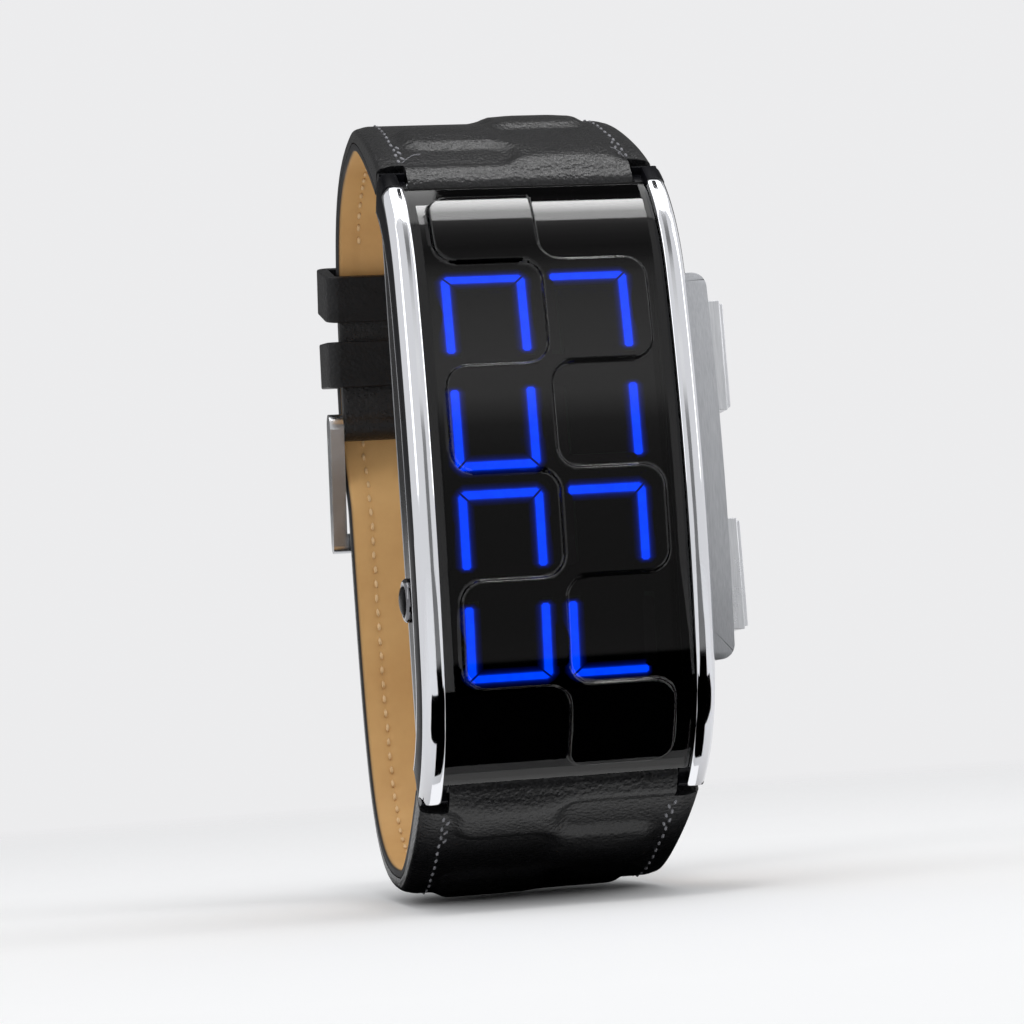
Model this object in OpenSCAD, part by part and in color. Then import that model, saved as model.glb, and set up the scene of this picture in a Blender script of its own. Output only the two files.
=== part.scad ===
// Wristwatch with a curved display that shows the time in glowing bars,
// two side pushers and a padded leather strap closed by a pin buckle.
// Millimetres. Origin at the middle of the wrist, inside the strap loop.
// +Z points to 12 o'clock, +X to the pushers, and the display faces -Y.

/* [Display] */
// Width of the display lens between the two rails
lens_w = 21.5; // [19:0.1:25]
// Length of the lens along its curve, end to end
lens_len = 54.2; // [50:0.2:60]
// Radius of the gently curved middle of the lens
middle_r = 118; // [80:1:200]
// Length of the gently curved middle, along the curve
middle_len = 33; // [28:0.5:38]
// Radius of the two tightly curved ends
end_r = 16; // [13:0.5:22]
// Thickness of the lens under its recessed cells
lens_t = 1.6; // [1.2:0.1:2.2]
// Height of the raised stepping band above the recessed cells
relief_h = 0.45; // [0.2:0.05:0.7]
// Pitch of the cells along the display
cell_len = 9.1; // [8:0.1:9.4]
// Width of one cell, from the centre line to the side margin
cell_w = 9.05; // [7.5:0.05:9.4]
// Corner radius of the cells
cell_r = 1.9; // [0.8:0.1:2.6]
// Length of the bevel across each end of the lens
lens_bevel = 1.3; // [0.5:0.1:2]

/* [Light bars] */
// Width of one digit, between the middles of its upright bars
digit_w = 6.4; // [5:0.1:7]
// Half height of one digit, to the middle of its level bars
digit_half = 7.9; // [7:0.1:8.2]
// Distance of each digit's centre from the centre line
digit_x = 4.4; // [4:0.05:4.9]
// Distance of the digits below the middle of their cells
digit_drop = 0.3; // [0:0.05:0.4]
// Length of an upright bar
bar_len = 5.8; // [4.5:0.1:6.2]
// Width of a bar
bar_w = 0.9; // [0.5:0.05:1.2]

/* [Case] */
// Distance from the wrist centre to the front of the lens
front_y = 26.2; // [24:0.1:29]
// How far the case back lies behind the ends of the lens
back_past = 1.9; // [1.8:0.1:3.5]
// Width of the case wall beside the lens, which the rail covers
rail_w = 1.65; // [1.5:0.05:2.4]
// How far the body of the case stops short of each end of the lens
case_short = 1.6; // [1.2:0.1:1.9]
// Thickness of the case back
back_t = 1.1; // [0.8:0.1:1.4]
// Thickness of the end walls of the case
end_wall = 1.6; // [1.5:0.1:2.2]
// Thickness of the long walls beside the works
wall_t = 2.4; // [2:0.1:3]
// Width of a lug, across the case
lug_t = 2.25; // [1.8:0.05:2.3]
// Radius of the lug around the spring bar
lug_r = 1.6; // [1.5:0.1:2.1]
// Distance of the spring bar past the end of the lens, along the curve
bar_past = 2.1; // [2.1:0.1:3]
// Depth of the spring bar below the lens surface
bar_under = 1.9; // [1.7:0.05:1.95]

/* [Rails] */
// How far the rails stand above the lens
rail_proud = 0.35; // [0.1:0.05:0.8]
// Width of the bright front facet
rail_facet = 1.45; // [1:0.05:1.6]
// Depth of the skirt down the side of the case
rail_skirt = 3.6; // [3:0.1:3.7]
// Depth of the shelf of the case that the rails lie on, below the lens surface
shelf_d = 0.8; // [0.6:0.05:1]
// Thickness of the skirt
skirt_t = 0.45; // [0.3:0.05:0.7]
// How far the rails run past the end of the lens
rail_past = 2.3; // [0.6:0.1:2.3]

/* [Pushers] */
// Distance of each pusher from the middle of the case
pusher_z = 9.5; // [8:0.05:10.5]
// Length of a pusher head
head_len = 9.6; // [7.5:0.1:10]
// Width of a pusher head, front to back
head_w = 3.2; // [2.6:0.1:3.4]
// How far the head stands out of the side plate
head_out = 1.5; // [1:0.1:2.5]
// Travel of a pusher
travel = 0.7; // [0.4:0.05:0.9]
// Radius of the pusher stem
stem_r = 0.7; // [0.5:0.05:0.8]
// Length of the side plate
plate_len = 33.6; // [31:0.2:36]
// How far the side plate stands out of the case
plate_out = 2.5; // [2:0.1:3.5]

/* [Strap] */
// Half height of the strap loop, inside
loop_half = 33.4; // [32:0.2:37]
// Distance from the wrist centre to the inside of the loop at the back
loop_back = 20.2; // [18:0.2:24]
// How much narrower the strap is at the buckle than at the case
taper = 1.2; // [0.4:0.1:3]
// Thickness of the strap at the buckle
strap_t = 2.3; // [1.8:0.1:2.6]
// Thickness of the lining
lining_t = 0.8; // [0.5:0.05:1]
// Radius of the leather around the spring bars
wrap_r = 1.5; // [1.4:0.1:1.6]
// Height of the padded blocks above the strap
pad_h = 0.6; // [0.4:0.1:1]
// Length of one padded block along the strap
pad_len = 9.1; // [7:0.1:12]
// Length of the fold that holds the buckle bar, back along the strap
fold_len = 14.6; // [12:0.1:18]
// Height above the middle of the wrist where the tail of the long half ends
tail_z = 24; // [21:0.5:24.5]
// Pitch of the adjusting holes
hole_pitch = 6; // [5:0.5:8]
// Radius of an adjusting hole
hole_r = 0.9; // [0.6:0.05:1.2]

/* [Buckle] */
// Height of the buckle bar above the middle of the wrist
buckle_z = 10.2; // [9:0.1:12]
// Length of the buckle, from its bar to its front bar
buckle_len = 11.5; // [10:0.1:13]
// Thickness of the buckle's side arms
arm_t = 1.4; // [1:0.1:2]
// Radius of the front bar
front_bar_r = 1; // [0.7:0.05:1.2]
// Thickness of the tongue
tongue_t = 1.1; // [0.8:0.05:1.3]
// Length of a keeper along the strap
keeper_len = 4.6; // [3.5:0.1:5]
// Thickness of a keeper's leather
keeper_t = 1.2; // [0.8:0.1:1.5]

/* [Works] */
// Diameter of a button cell
cell_d = 16; // [14:0.1:17]
// Thickness of a button cell
cell_t = 1.6; // [1.2:0.1:1.8]
// Distance of each cell's centre from the middle
cell_z = 9.2; // [8.9:0.1:10]

/* [Hidden] */
$fn = 64;
far = 100;
// running clearance of pins in their bores, and gap between pieces that only lie together
run = 0.05;
gap = 0.1;
soft_gap = 0.3;

case_w = lens_w + 2 * rail_w;
strap_w = case_w;
strap_end_w = strap_w - taper;

// Front curve: a gentle arc in the middle and a tighter arc at each end
middle_a = middle_len / 2 / middle_r * 180 / PI;
middle_c = [middle_r - front_y, 0];
end_c = middle_c + (middle_r - end_r) * [-cos(middle_a), sin(middle_a)];
lens_half = lens_len / 2;
// Angle of the curve's normal at a distance s from the middle
function turn(s) = abs(s) <= middle_len / 2 ? abs(s) / middle_r * 180 / PI
  : middle_a + (abs(s) - middle_len / 2) / end_r * 180 / PI;
// Point [y, z] at a distance s along the curve and a depth d below it
function front(s, d) = let (a = turn(s), up = s < 0 ? -1 : 1)
  abs(s) <= middle_len / 2
    ? [middle_c[0] - (middle_r - d) * cos(a), up * (middle_r - d) * sin(a)]
    : [end_c[0] - (end_r - d) * cos(a), up * (end_c[1] + (end_r - d) * sin(a))];
lens_under = relief_h + lens_t;
gasket_t = 0.2;
seat_d = lens_under + gasket_t;
end_a = turn(lens_half);
// Directions along the curve and out of it at the upper end of the lens
along = [sin(end_a), cos(end_a)];
out = [-cos(end_a), sin(end_a)];
bar_at = front(lens_half, 0) + bar_past * along - bar_under * out;
case_half = front(lens_half, 0)[1] - case_short;
cavity_half = case_half - end_wall;

// Levels behind the lens, front to back
mask_d = seat_d + 0.1;
mask_t = 0.35;
board_t = 0.5;
led_t = 0.6;
led_board_d = mask_d + led_t;
works_d = led_board_d + board_t;
back_y = front(lens_half, lens_under)[0] + back_past;
rear_y = back_y - back_t;
cell_rear = rear_y - 0.45;
cell_front = cell_rear - cell_t;
contact_t = 0.3;
main_rear = cell_front - contact_t;
main_front = main_rear - board_t;
cavity_w = case_w - 2 * wall_t;
works_w = cavity_w - 3 * gap;
works_half = cavity_half - gap;
board_w = works_w - 2.4;
board_half = 17;
pusher_y = front(pusher_z, rail_skirt + 1.45)[0];

// Draws a [y, z] outline between two x positions
module along_x(x0, x1) {
  translate([x0, 0, 0]) rotate([90, 0, 90]) linear_extrude(x1 - x0) children();
}
// Draws an [x, z] outline between two y positions
module along_y(y0, y1) {
  translate([0, y1, 0]) rotate([90, 0, 0]) linear_extrude(y1 - y0) children();
}
// Sector between two radii, from angle a0 to a1 above the -Y direction
module sector(centre, r0, r1, a0, a1) {
  intersection() {
    translate(centre) difference() { circle(r1, $fn = 128); circle(r0, $fn = 128); }
    polygon([centre, centre + 2 * r1 * [-cos(a0), sin(a0)], centre + 2 * r1 * [-cos(a1), sin(a1)]]);
  }
}
// Curved layer between depths d0 and d1, out to a distance s each way
lap_a = 0.4;
module layer(d0, d1, s) {
  a = turn(s);
  sector(middle_c, middle_r - d1, middle_r - d0, -middle_a, middle_a);
  sector(end_c, end_r - d1, end_r - d0, middle_a - lap_a, a);
  mirror([0, 1]) sector(end_c, end_r - d1, end_r - d0, middle_a - lap_a, a);
}
// Everything behind the front curve at a depth d, back to the plane y1
module behind(d, y1, half) {
  difference() {
    translate([-front_y, -half]) square([y1 + front_y, 2 * half]);
    layer(-8, d, lens_half + 4);
  }
}
// Sweeps a section given as [x, depth] points along the front curve, out to a distance s each way
module rail_sweep(section, s) {
  middle = middle_len / 2;
  ends = [for (i = [1:end_steps]) middle + (s - middle) * i / end_steps];
  at = concat([for (i = [end_steps - 1:-1:0]) -ends[i]],
    [for (i = [0:middle_steps]) middle * (2 * i / middle_steps - 1)], ends);
  m = len(section);
  n = len(at);
  points = [for (q = at, p = section) let (f = front(q, p[1])) [p[0], f[0], f[1]]];
  sides = [for (i = [0:n - 2], j = [0:m - 1]) let (k = (j + 1) % m) [i * m + j, i * m + k, (i + 1) * m + k, (i + 1) * m + j]];
  polyhedron(points, concat(sides, [[for (j = [m - 1:-1:0]) j]], [[for (j = [0:m - 1]) (n - 1) * m + j]]));
}
end_steps = 14;
middle_steps = 14;
module both_sides() {
  children();
  mirror([1, 0, 0]) children();
}
module both_ends() {
  children();
  mirror([0, 0, 1]) children();
}
// Rectangle with round corners
module rounded(w, h, r) {
  square([w - 2 * r, h], center = true);
  square([w, h - 2 * r], center = true);
  for (x = [-1, 1], y = [-1, 1]) translate([x * (w / 2 - r), y * (h / 2 - r)]) circle(r);
}

// Case: cavity for the works, seats for lens and rails, and four lugs
lug_in = case_w / 2 - lug_t;
shelf_x = lens_w / 2 + gap / 2;
module lug_outline(lens_seat) {
  difference() {
    union() {
      translate(bar_at) circle(lug_r);
      polygon([bar_at + lug_r * out, front(lens_half - 4, lens_under), [rear_y, case_half - 3],
        [rear_y, case_half + gap], [back_y, case_half + gap], bar_at - lug_r * out]);
    }
    layer(-3, shelf_d, lens_half + rail_past + gap);
    if (lens_seat) layer(-4, seat_d, lens_half + gap);
  }
}
module case_block() {
  difference() {
    union() {
      along_x(-case_w / 2, case_w / 2) behind(seat_d, rear_y, case_half);
      both_sides() along_x(shelf_x, case_w / 2) behind(shelf_d, rear_y, case_half);
      both_ends() both_sides() {
        along_x(lug_in, case_w / 2) lug_outline(true);
        along_x(shelf_x, case_w / 2) lug_outline(false);
      }
    }
    // seats of the rail skirts
    both_sides() along_x(case_w / 2 - skirt_t / 2, far) layer(-3, rail_skirt + gap, lens_half + rail_past + gap);
  }
}
module case_shell() {
  difference() {
    case_block();
    // space for the works
    along_y(-front_y, far) square([cavity_w, 2 * cavity_half], center = true);
    // gasket groove in the rear face
    along_y(rear_y - groove_d, far) difference() {
      rounded(groove_w + 2 * groove_t, 2 * (groove_half + groove_t), 1.4);
      rounded(groove_w, 2 * groove_half, 1);
    }
  }
}
module middle_case() {
  color("#1b1c1f") difference() {
    difference() {
      case_shell();
      both_ends() both_sides() translate([screw_x, rear_y - screw_deep, screw_z]) rotate([-90, 0, 0])
        cylinder(r = screw_r, h = far);
      // holes for the spring bar tips
      both_ends() along_x(-case_w / 2 + tip_wall, case_w / 2 - tip_wall) translate(bar_at) circle(tip_r + run);
    }
    // pusher bores with counterbores for the springs
    for (z = [-1, 1]) translate([0, pusher_y, z * pusher_z]) rotate([0, 90, 0]) {
      cylinder(r = stem_r + run, h = far);
      translate([0, 0, spring_floor]) cylinder(r = spring_seat_r, h = far);
    }
    // screws of the side plate, and the seat of the stud
    for (z = [-1, 1]) translate([0, plate_screw_y, z * plate_screw_z]) rotate([0, 90, 0])
      cylinder(r = plate_screw_r, h = far);
    translate([-case_w / 2 + stud_seat, stud_y, stud_z]) rotate([0, -90, 0]) cylinder(r = stud_pin_r, h = far);
  }
}
tip_r = 0.45;
tip_wall = 0.8;
groove_d = 0.25;
groove_t = 0.4;
groove_w = cavity_w + 0.3;
groove_half = cavity_half + 0.15;
screw_r = 0.45;
screw_x = cavity_w / 2 + 1.4;
screw_z = 18.5;
screw_deep = 1.6;

seat_gap = 0.02;
// Polished rails: a front facet, a bevel and a skirt down the side of the case
module rail() {
  x0 = shelf_x;
  x1 = case_w / 2 + skirt_t / 2;
  rail_sweep([
    [x0, shelf_d - seat_gap], [x0, -rail_proud + 0.15], [x0 + 0.15, -rail_proud],
    [x0 + rail_facet, -rail_proud + 0.1], [x1, 0.55], [x1, rail_skirt],
    [x1 - skirt_t, rail_skirt], [x1 - skirt_t, shelf_d - seat_gap]
  ], lens_half + rail_past);
}
module rail_left() { color("#d8dade") mirror([1, 0, 0]) rail(); }
module rail_right() { color("#d8dade") rail(); }

// Lens: recessed surface with a raised band that steps from cell to cell
row_end = lens_half - lens_bevel - 0.5;
// Height of a row boundary, limited to the end of the relief
function row_z(k) = front(max(-row_end, min(row_end, k * cell_len)), 0)[1];
// Outline of the band: down its right side, then up its left side
band_points = concat(
  [[-cell_w, row_z(3)], [0, row_z(3)]],
  [for (k = [2:-1:-2], near = k % 2 == 0 ? [0, cell_w] : [cell_w, 0]) [near, row_z(k)]],
  [[cell_w, row_z(-3)], [0, row_z(-3)]],
  [for (k = [-2:2], near = k % 2 == 0 ? [0, -cell_w] : [-cell_w, 0]) [near, row_z(k)]]);
corner_steps = 6;
// Rounds the square corners of an outline
function round_corners(p, r) = [for (i = [0:len(p) - 1])
  let (u = p[(i + len(p) - 1) % len(p)] - p[i], v = p[(i + 1) % len(p)] - p[i], un = u / norm(u), vn = v / norm(v))
  for (j = [0:corner_steps]) let (t = 90 * j / corner_steps)
    p[i] + r * (un + vn) - r * (vn * cos(t) + un * sin(t))];
module display_lens() {
  color("#15161a") difference() {
    union() {
      along_x(-lens_w / 2, lens_w / 2) layer(relief_h, lens_under, lens_half);
      intersection() {
        along_x(-cell_w - 1, cell_w + 1) layer(0, relief_h + 0.2, row_end + 0.5);
        along_y(-front_y - 1, 0) polygon(round_corners(band_points, cell_r));
      }
    }
    // bevel across each end
    both_ends() along_x(-far, far) polygon([front(lens_half - lens_bevel, relief_h),
      front(lens_half, relief_h + lens_bevel * 0.7), front(lens_half, relief_h + lens_bevel * 0.7) + 5 * along,
      front(lens_half, 0) + 5 * along + 3 * out, front(lens_half - lens_bevel, relief_h) + 3 * out]);
  }
}
module lens_gasket() {
  color("#26262a") difference() {
    along_x(-lens_w / 2, lens_w / 2) layer(lens_under, seat_d, lens_half);
    along_y(-far, far) square([cavity_w + 0.2, 2 * cavity_half + 0.2], center = true);
  }
}

// Light bars: six to each digit, in a dark mask on the display board
digits = [[-1, 1], [1, 1], [-1, -1], [1, -1]];
bar_gap = 0.15;
module bar_places(extra) {
  for (d = digits, v = [-1, 1]) {
    x = d[0] * digit_x;
    s = d[1] * cell_len - digit_drop + v * digit_half;
    inner = bar_w / 2 + bar_gap;
    // level bar at the top or bottom of the digit, and the two upright bars beside it
    light_bar(x - digit_w / 2 + inner, x + digit_w / 2 - inner, s - bar_w / 2, s + bar_w / 2, extra);
    for (u = [-1, 1]) {
      middle = s - v * (inner + bar_len / 2);
      light_bar(x + u * digit_w / 2 - bar_w / 2, x + u * digit_w / 2 + bar_w / 2,
        middle - bar_len / 2, middle + bar_len / 2, extra);
    }
  }
}
module light_bar(x0, x1, s0, s1, extra) {
  p0 = front(s0, mask_d);
  p1 = front(s1, mask_d);
  n0 = [cos(turn(s0)), -sign(s0) * sin(turn(s0))];
  n1 = [cos(turn(s1)), -sign(s1) * sin(turn(s1))];
  side = extra * (p1 - p0) / norm(p1 - p0);
  along_x(x0 - extra, x1 + extra)
    polygon([p0 - side - extra * n0, p1 + side - extra * n1, p1 + side + (led_t + extra) * n1,
      p0 - side + (led_t + extra) * n0]);
}
module light_bars() {
  color("#2a55ff") intersection() {
    bar_places(0);
    along_x(-far, far) layer(mask_d, led_board_d, lens_half);
  }
}
module segment_mask() {
  color("#0c0c0e") difference() {
    intersection() {
      along_x(-works_w / 2, works_w / 2) layer(mask_d, mask_d + mask_t, lens_half);
      along_y(-far, far) square([far, 2 * works_half], center = true);
    }
    bar_places(gap / 2);
  }
}
module led_board() {
  color("#1f5a34") difference() {
    intersection() {
      along_x(-works_w / 2, works_w / 2) layer(mask_d + mask_t, works_d, lens_half);
      along_y(-far, far) square([far, 2 * works_half], center = true);
    }
    intersection() {
      bar_places(gap / 2);
      along_x(-far, far) layer(-1, led_board_d, lens_half);
    }
  }
}

// Works frame: carries the display board in front and the cells behind
module works_frame() {
  color("#e8e4d8") difference() {
    intersection() {
      along_x(-works_w / 2, works_w / 2) behind(works_d, cell_rear, works_half);
      along_y(-far, far) square([far, 2 * works_half], center = true);
    }
    along_y(-far, main_rear) square([board_w + 2 * gap, 2 * (board_half + gap)], center = true);
    for (z = [-1, 1]) {
      translate([0, -far, z * cell_z]) rotate([-90, 0, 0]) cylinder(r = cell_d / 2 + gap, h = 2 * far);
      // notches for the pusher stems and their clips
      translate([stem_end - travel - 2 * gap, pusher_y - 1.8, z * pusher_z - 2]) cube([far, 3.6, 4]);
      // clears the heads of the side plate's screws
      translate([works_w / 2 - 0.5, plate_screw_y - 1.1, z * plate_screw_z - 1.1]) cube([far, 2.2, 2.2]);
    }
  }
}
module main_board() {
  color("#1f5a34") along_y(main_front, main_rear) difference() {
    square([board_w, 2 * board_half], center = true);
    for (z = [-1, 1]) translate([board_w / 2 - 1.5, z * pusher_z - 1.5]) square([2.3, 3]);
  }
}
chip_w = 5;
chip_t = 0.8;
pin_w = 0.24;
pin_len = 0.8;
pin_pitch = 0.5;
crystal_len = 3.2;
crystal_w = 1.5;
module controller_chip() {
  color("#101012") along_y(main_front - chip_t, main_front) {
    square([chip_w, chip_w], center = true);
    for (x = [-1, 1], z = [-4:4]) translate([x * (chip_w + pin_len) / 2 - pin_len / 2, z * pin_pitch - pin_w / 2])
      square([pin_len, pin_w]);
  }
}
module quartz_crystal() {
  color("#b9bcc2") along_y(main_front - chip_t, main_front) translate([0, -chip_w / 2 - pin_len - crystal_w / 2 - gap])
    rounded(crystal_len, crystal_w, crystal_w / 5);
}
// Spring leaves that the pusher stems press against the board
switch_w = 2.4;
switch_t = 0.2;
switch_foot = 2.2;
module switch_contacts() {
  color("#c9a24a") for (z = [-1, 1]) translate([stem_end - travel - gap / 2, 0, z * pusher_z - switch_w / 2]) {
    translate([-switch_t, pusher_y - stem_r, 0]) cube([switch_t, main_rear - pusher_y + stem_r, switch_w]);
    translate([-switch_foot, main_front - switch_t, 0]) cube([switch_foot, switch_t, switch_w]);
  }
}
module button_cell(z) {
  color("#c4c7cb") translate([0, cell_front, z]) rotate([-90, 0, 0]) {
    cylinder(r = cell_d / 2 - 0.9, h = cell_t);
    translate([0, 0, 0.3]) cylinder(r = cell_d / 2, h = cell_t - 0.3);
  }
}
module cell_upper() { button_cell(cell_z); }
module cell_lower() { button_cell(-cell_z); }
// Front leaves under each cell, and the strip that joins the two cells at the back
leaf_w = cell_d / 4;
module cell_contacts() {
  color("#c9a24a") {
    for (z = [-1, 1]) along_y(main_rear, cell_front) translate([0, z * cell_z]) rounded(leaf_w, 2 * leaf_w, leaf_w / 4);
    along_y(cell_rear, cell_rear + contact_t - gap) rounded(leaf_w, 2 * (cell_z + leaf_w), leaf_w / 4);
  }
}

// Case back with its gasket and screws
head_r = 0.8;
head_t = 0.5;
module case_back() {
  color("#a9acb1") difference() {
    along_y(rear_y, back_y) rounded(case_w - 0.2, 2 * case_half - 0.2, 2);
    both_sides() both_ends() translate([screw_x, 0, screw_z]) rotate([-90, 0, 0]) {
      translate([0, 0, -far]) cylinder(r = screw_r + run, h = 2 * far);
      translate([0, 0, back_y - head_t]) cylinder(r = head_r + run, h = far);
    }
  }
}
module case_back_gasket() {
  color("#26262a") along_y(rear_y - groove_d, rear_y) difference() {
    rounded(groove_w + 2 * groove_t - gap, 2 * (groove_half + groove_t) - gap, 1.35);
    rounded(groove_w + gap, 2 * groove_half + gap, 1.05);
  }
}
module case_back_screws() {
  color("#8e9196") both_sides() both_ends() translate([screw_x, 0, screw_z]) rotate([-90, 0, 0]) difference() {
    union() {
      translate([0, 0, rear_y - screw_deep + 0.1]) cylinder(r = screw_r, h = back_y - rear_y + screw_deep - 0.2);
      translate([0, 0, back_y - head_t]) cylinder(r = head_r, h = head_t - gap);
    }
    translate([-far, -0.12, back_y - 0.35]) cube([2 * far, 0.24, far]);
  }
}

// Side plate that guards the pushers, held by two screws from inside the case
plate_in = case_w / 2 + skirt_t / 2 + gap;
plate_x = case_w / 2 + plate_out;
plate_d = rail_skirt - 1.2;
plate_rear = rear_y;
plate_screw_z = 2.4;
plate_screw_y = pusher_y + 0.3;
plate_screw_r = 0.5;
module plate_outline() {
  r = plate_out * 0.5;
  translate([case_w / 2, -plate_len / 2]) square([plate_out - r, plate_len]);
  translate([case_w / 2, -plate_len / 2 + r]) square([plate_out, plate_len - 2 * r]);
  for (z = [-1, 1]) translate([plate_x - r, z * (plate_len / 2 - r)]) circle(r);
}
module side_plate() {
  color("#b4b7bc") difference() {
    intersection() {
      along_y(-far, plate_rear) plate_outline();
      along_x(0, far) behind(plate_d, plate_rear, plate_len);
    }
    // clears the skirt of the rail
    along_x(0, plate_in) layer(-3, rail_skirt + gap, lens_half);
    for (z = [-1, 1]) {
      translate([0, pusher_y - head_w / 2 - gap, z * pusher_z - head_len / 2 - gap])
        cube([far, head_w + 2 * gap, head_len + 2 * gap]);
      translate([0, plate_screw_y, z * plate_screw_z]) rotate([0, 90, 0])
        cylinder(r = plate_screw_r, h = plate_x - 0.8);
    }
  }
}
module side_plate_screws() {
  color("#8e9196") for (z = [-1, 1]) translate([cavity_w / 2, plate_screw_y, z * plate_screw_z]) rotate([0, 90, 0]) {
    translate([0, 0, -0.1]) cylinder(r = plate_screw_r, h = plate_x - 1 - cavity_w / 2);
    translate([0, 0, -0.4]) cylinder(r = plate_screw_r + 0.4, h = 0.4);
  }
}

// Round stud on the left side: a polished collar around a domed cap
stud_r = 1.9;
stud_z = -10;
stud_y = front(stud_z, rail_skirt + gap)[0] + stud_r + 0.5;
stud_out = 0.6;
stud_seat = 0.9;
stud_pin_r = 0.8;
module stud_turned(points) {
  translate([-case_w / 2, stud_y, stud_z]) rotate([0, -90, 0]) rotate_extrude() polygon(points);
}
module stud_collar() {
  color("#d8dade") stud_turned([[1.25, 0], [stud_r, 0], [stud_r, stud_out - 0.2], [stud_r - 0.2, stud_out],
    [1.45, stud_out], [1.25, stud_out - 0.2]]);
}
module stud_cap() {
  color("#0e0e11") {
    stud_turned(concat([[0, -stud_seat], [stud_pin_r, -stud_seat], [stud_pin_r, 0], [1.25, 0], [1.25, stud_out]],
      [for (a = [80:-10:10]) [1.25 * sin(a), stud_out + 0.35 * cos(a)]], [[0, stud_out + 0.35]]));
  }
}

// Pushers: a rectangular head, a turned stem with a seal groove and a clip groove
spring_floor = case_w / 2 - 0.9;
spring_seat_r = 1.4;
spring_r = 1.15;
spring_wire = 0.22;
head_in = plate_x - 1.35;
seal_x = case_w / 2 - 1.75;
seal_w = 0.5;
clip_t = 0.25;
clip_x = cavity_w / 2 - clip_t - run;
stem_end = clip_x - 0.5;
module pusher(z) {
  color("#b9bcc1") translate([0, pusher_y, z]) {
    difference() {
      union() {
        translate([head_in, -head_w / 2, -head_len / 2]) cube([plate_x + head_out - 0.35 - head_in, head_w, head_len]);
        translate([plate_x + head_out - 0.4, -head_w / 2 + 0.25, -head_len / 2 + 0.25])
          cube([0.4, head_w - 0.5, head_len - 0.5]);
        translate([stem_end, 0, 0]) rotate([0, 90, 0]) cylinder(r = stem_r, h = head_in - stem_end + 0.1);
      }
      // grooves of the seal and the clip
      groove(seal_x, seal_w, stem_r - 0.2);
      groove(clip_x, clip_t, stem_r - 0.2);
    }
  }
}
module groove(x, w, r) {
  translate([x, 0, 0]) rotate([0, 90, 0]) difference() {
    cylinder(r = stem_r + 1, h = w);
    translate([0, 0, -1]) cylinder(r = r, h = w + 2);
  }
}
module pusher_upper() { pusher(pusher_z); }
module pusher_lower() { pusher(-pusher_z); }
module pusher_seal(z) {
  color("#26262a") translate([seal_x + seal_w / 2, pusher_y, z]) rotate([0, 90, 0]) rotate_extrude()
    translate([stem_r - 0.2 + 0.125, 0]) circle(0.115, $fn = 24);
}
module pusher_seal_upper() { pusher_seal(pusher_z); }
module pusher_seal_lower() { pusher_seal(-pusher_z); }
module pusher_clip(z) {
  color("#8e9196") translate([clip_x + 0.02, pusher_y, z]) rotate([0, 90, 0]) difference() {
    cylinder(r = stem_r + 0.65, h = clip_t - 0.04);
    translate([0, 0, -1]) cylinder(r = stem_r - 0.18, h = 3);
    translate([0, -0.35, -1]) cube([far, 0.7, 3]);
  }
}
module pusher_clip_upper() { pusher_clip(pusher_z); }
module pusher_clip_lower() { pusher_clip(-pusher_z); }
// Coil spring between the counterbore and the head
spring_turns = 3.5;
ring_steps = 14;
wire_sides = 6;
module pusher_spring(z) {
  x0 = spring_floor + spring_wire / 2 + 0.02;
  x1 = head_in - spring_wire / 2 - 0.02;
  n = round(spring_turns * ring_steps);
  points = [for (i = [0:n], j = [0:wire_sides - 1])
    let (a = 360 * i / ring_steps, b = 360 * j / wire_sides, r = spring_r + spring_wire / 2 * cos(b))
    [x0 + (x1 - x0) * i / n + spring_wire / 2 * sin(b), pusher_y + r * cos(a), z + r * sin(a)]];
  sides = [for (i = [0:n - 1], j = [0:wire_sides - 1])
    let (k = (j + 1) % wire_sides, a = i * wire_sides + j, b = i * wire_sides + k)
    each [[a, b, b + wire_sides], [a, b + wire_sides, a + wire_sides]]];
  first = [for (j = [1:wire_sides - 2]) [0, j + 1, j]];
  last = [for (j = [1:wire_sides - 2]) [0, j, j + 1] + n * wire_sides * [1, 1, 1]];
  color("#9da0a5") polyhedron(points, concat(sides, first, last));
}
module pusher_spring_upper() { pusher_spring(pusher_z); }
module pusher_spring_lower() { pusher_spring(-pusher_z); }

// Spring bars: a tube between the lugs with a thin tip at each end
module spring_bar() {
  color("#a4a7ac") {
    along_x(-lug_in + gap, lug_in - gap) translate(bar_at) circle(tube_r);
    along_x(-case_w / 2 + tip_wall + gap, case_w / 2 - tip_wall - gap) translate(bar_at) circle(tip_r);
  }
}
tube_r = 0.75;
module spring_bar_upper() { spring_bar(); }
module spring_bar_lower() { mirror([0, 0, 1]) spring_bar(); }

// Strap path: the inside of the loop, from a lug round to the back of the wrist
function curve(a, b, c, d, t) = a * pow(1 - t, 3) + 3 * b * t * pow(1 - t, 2) + 3 * c * t * t * (1 - t) + d * pow(t, 3);
path_start = bar_at - (wrap_r + 0.05) * out;
path_top = [0, loop_half];
path_back = [loop_back, 0];
// How far the path runs straight on from the lug and before the top, and how full its back bends are
lug_lead = 3;
top_lead = 4.5;
top_bulge = 0.85;
back_bulge = 0.82;
steps = 20;
half_path = concat(
  [for (i = [0:steps - 1]) curve(path_start, path_start + lug_lead * along, path_top - [top_lead, 0], path_top, i / steps)],
  [for (i = [0:steps]) curve(path_top, path_top + [top_bulge * loop_back, 0], path_back + [0, back_bulge * loop_half],
    path_back, i / steps)]);
function flip(p) = [for (q = p) [q[0], -q[1]]];
function reversed(p) = [for (i = [len(p) - 1:-1:0]) p[i]];
short_path = half_path;
long_path = concat(flip(half_path), [for (i = [len(half_path) - 2:-1:0]) half_path[i]]);
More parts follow.
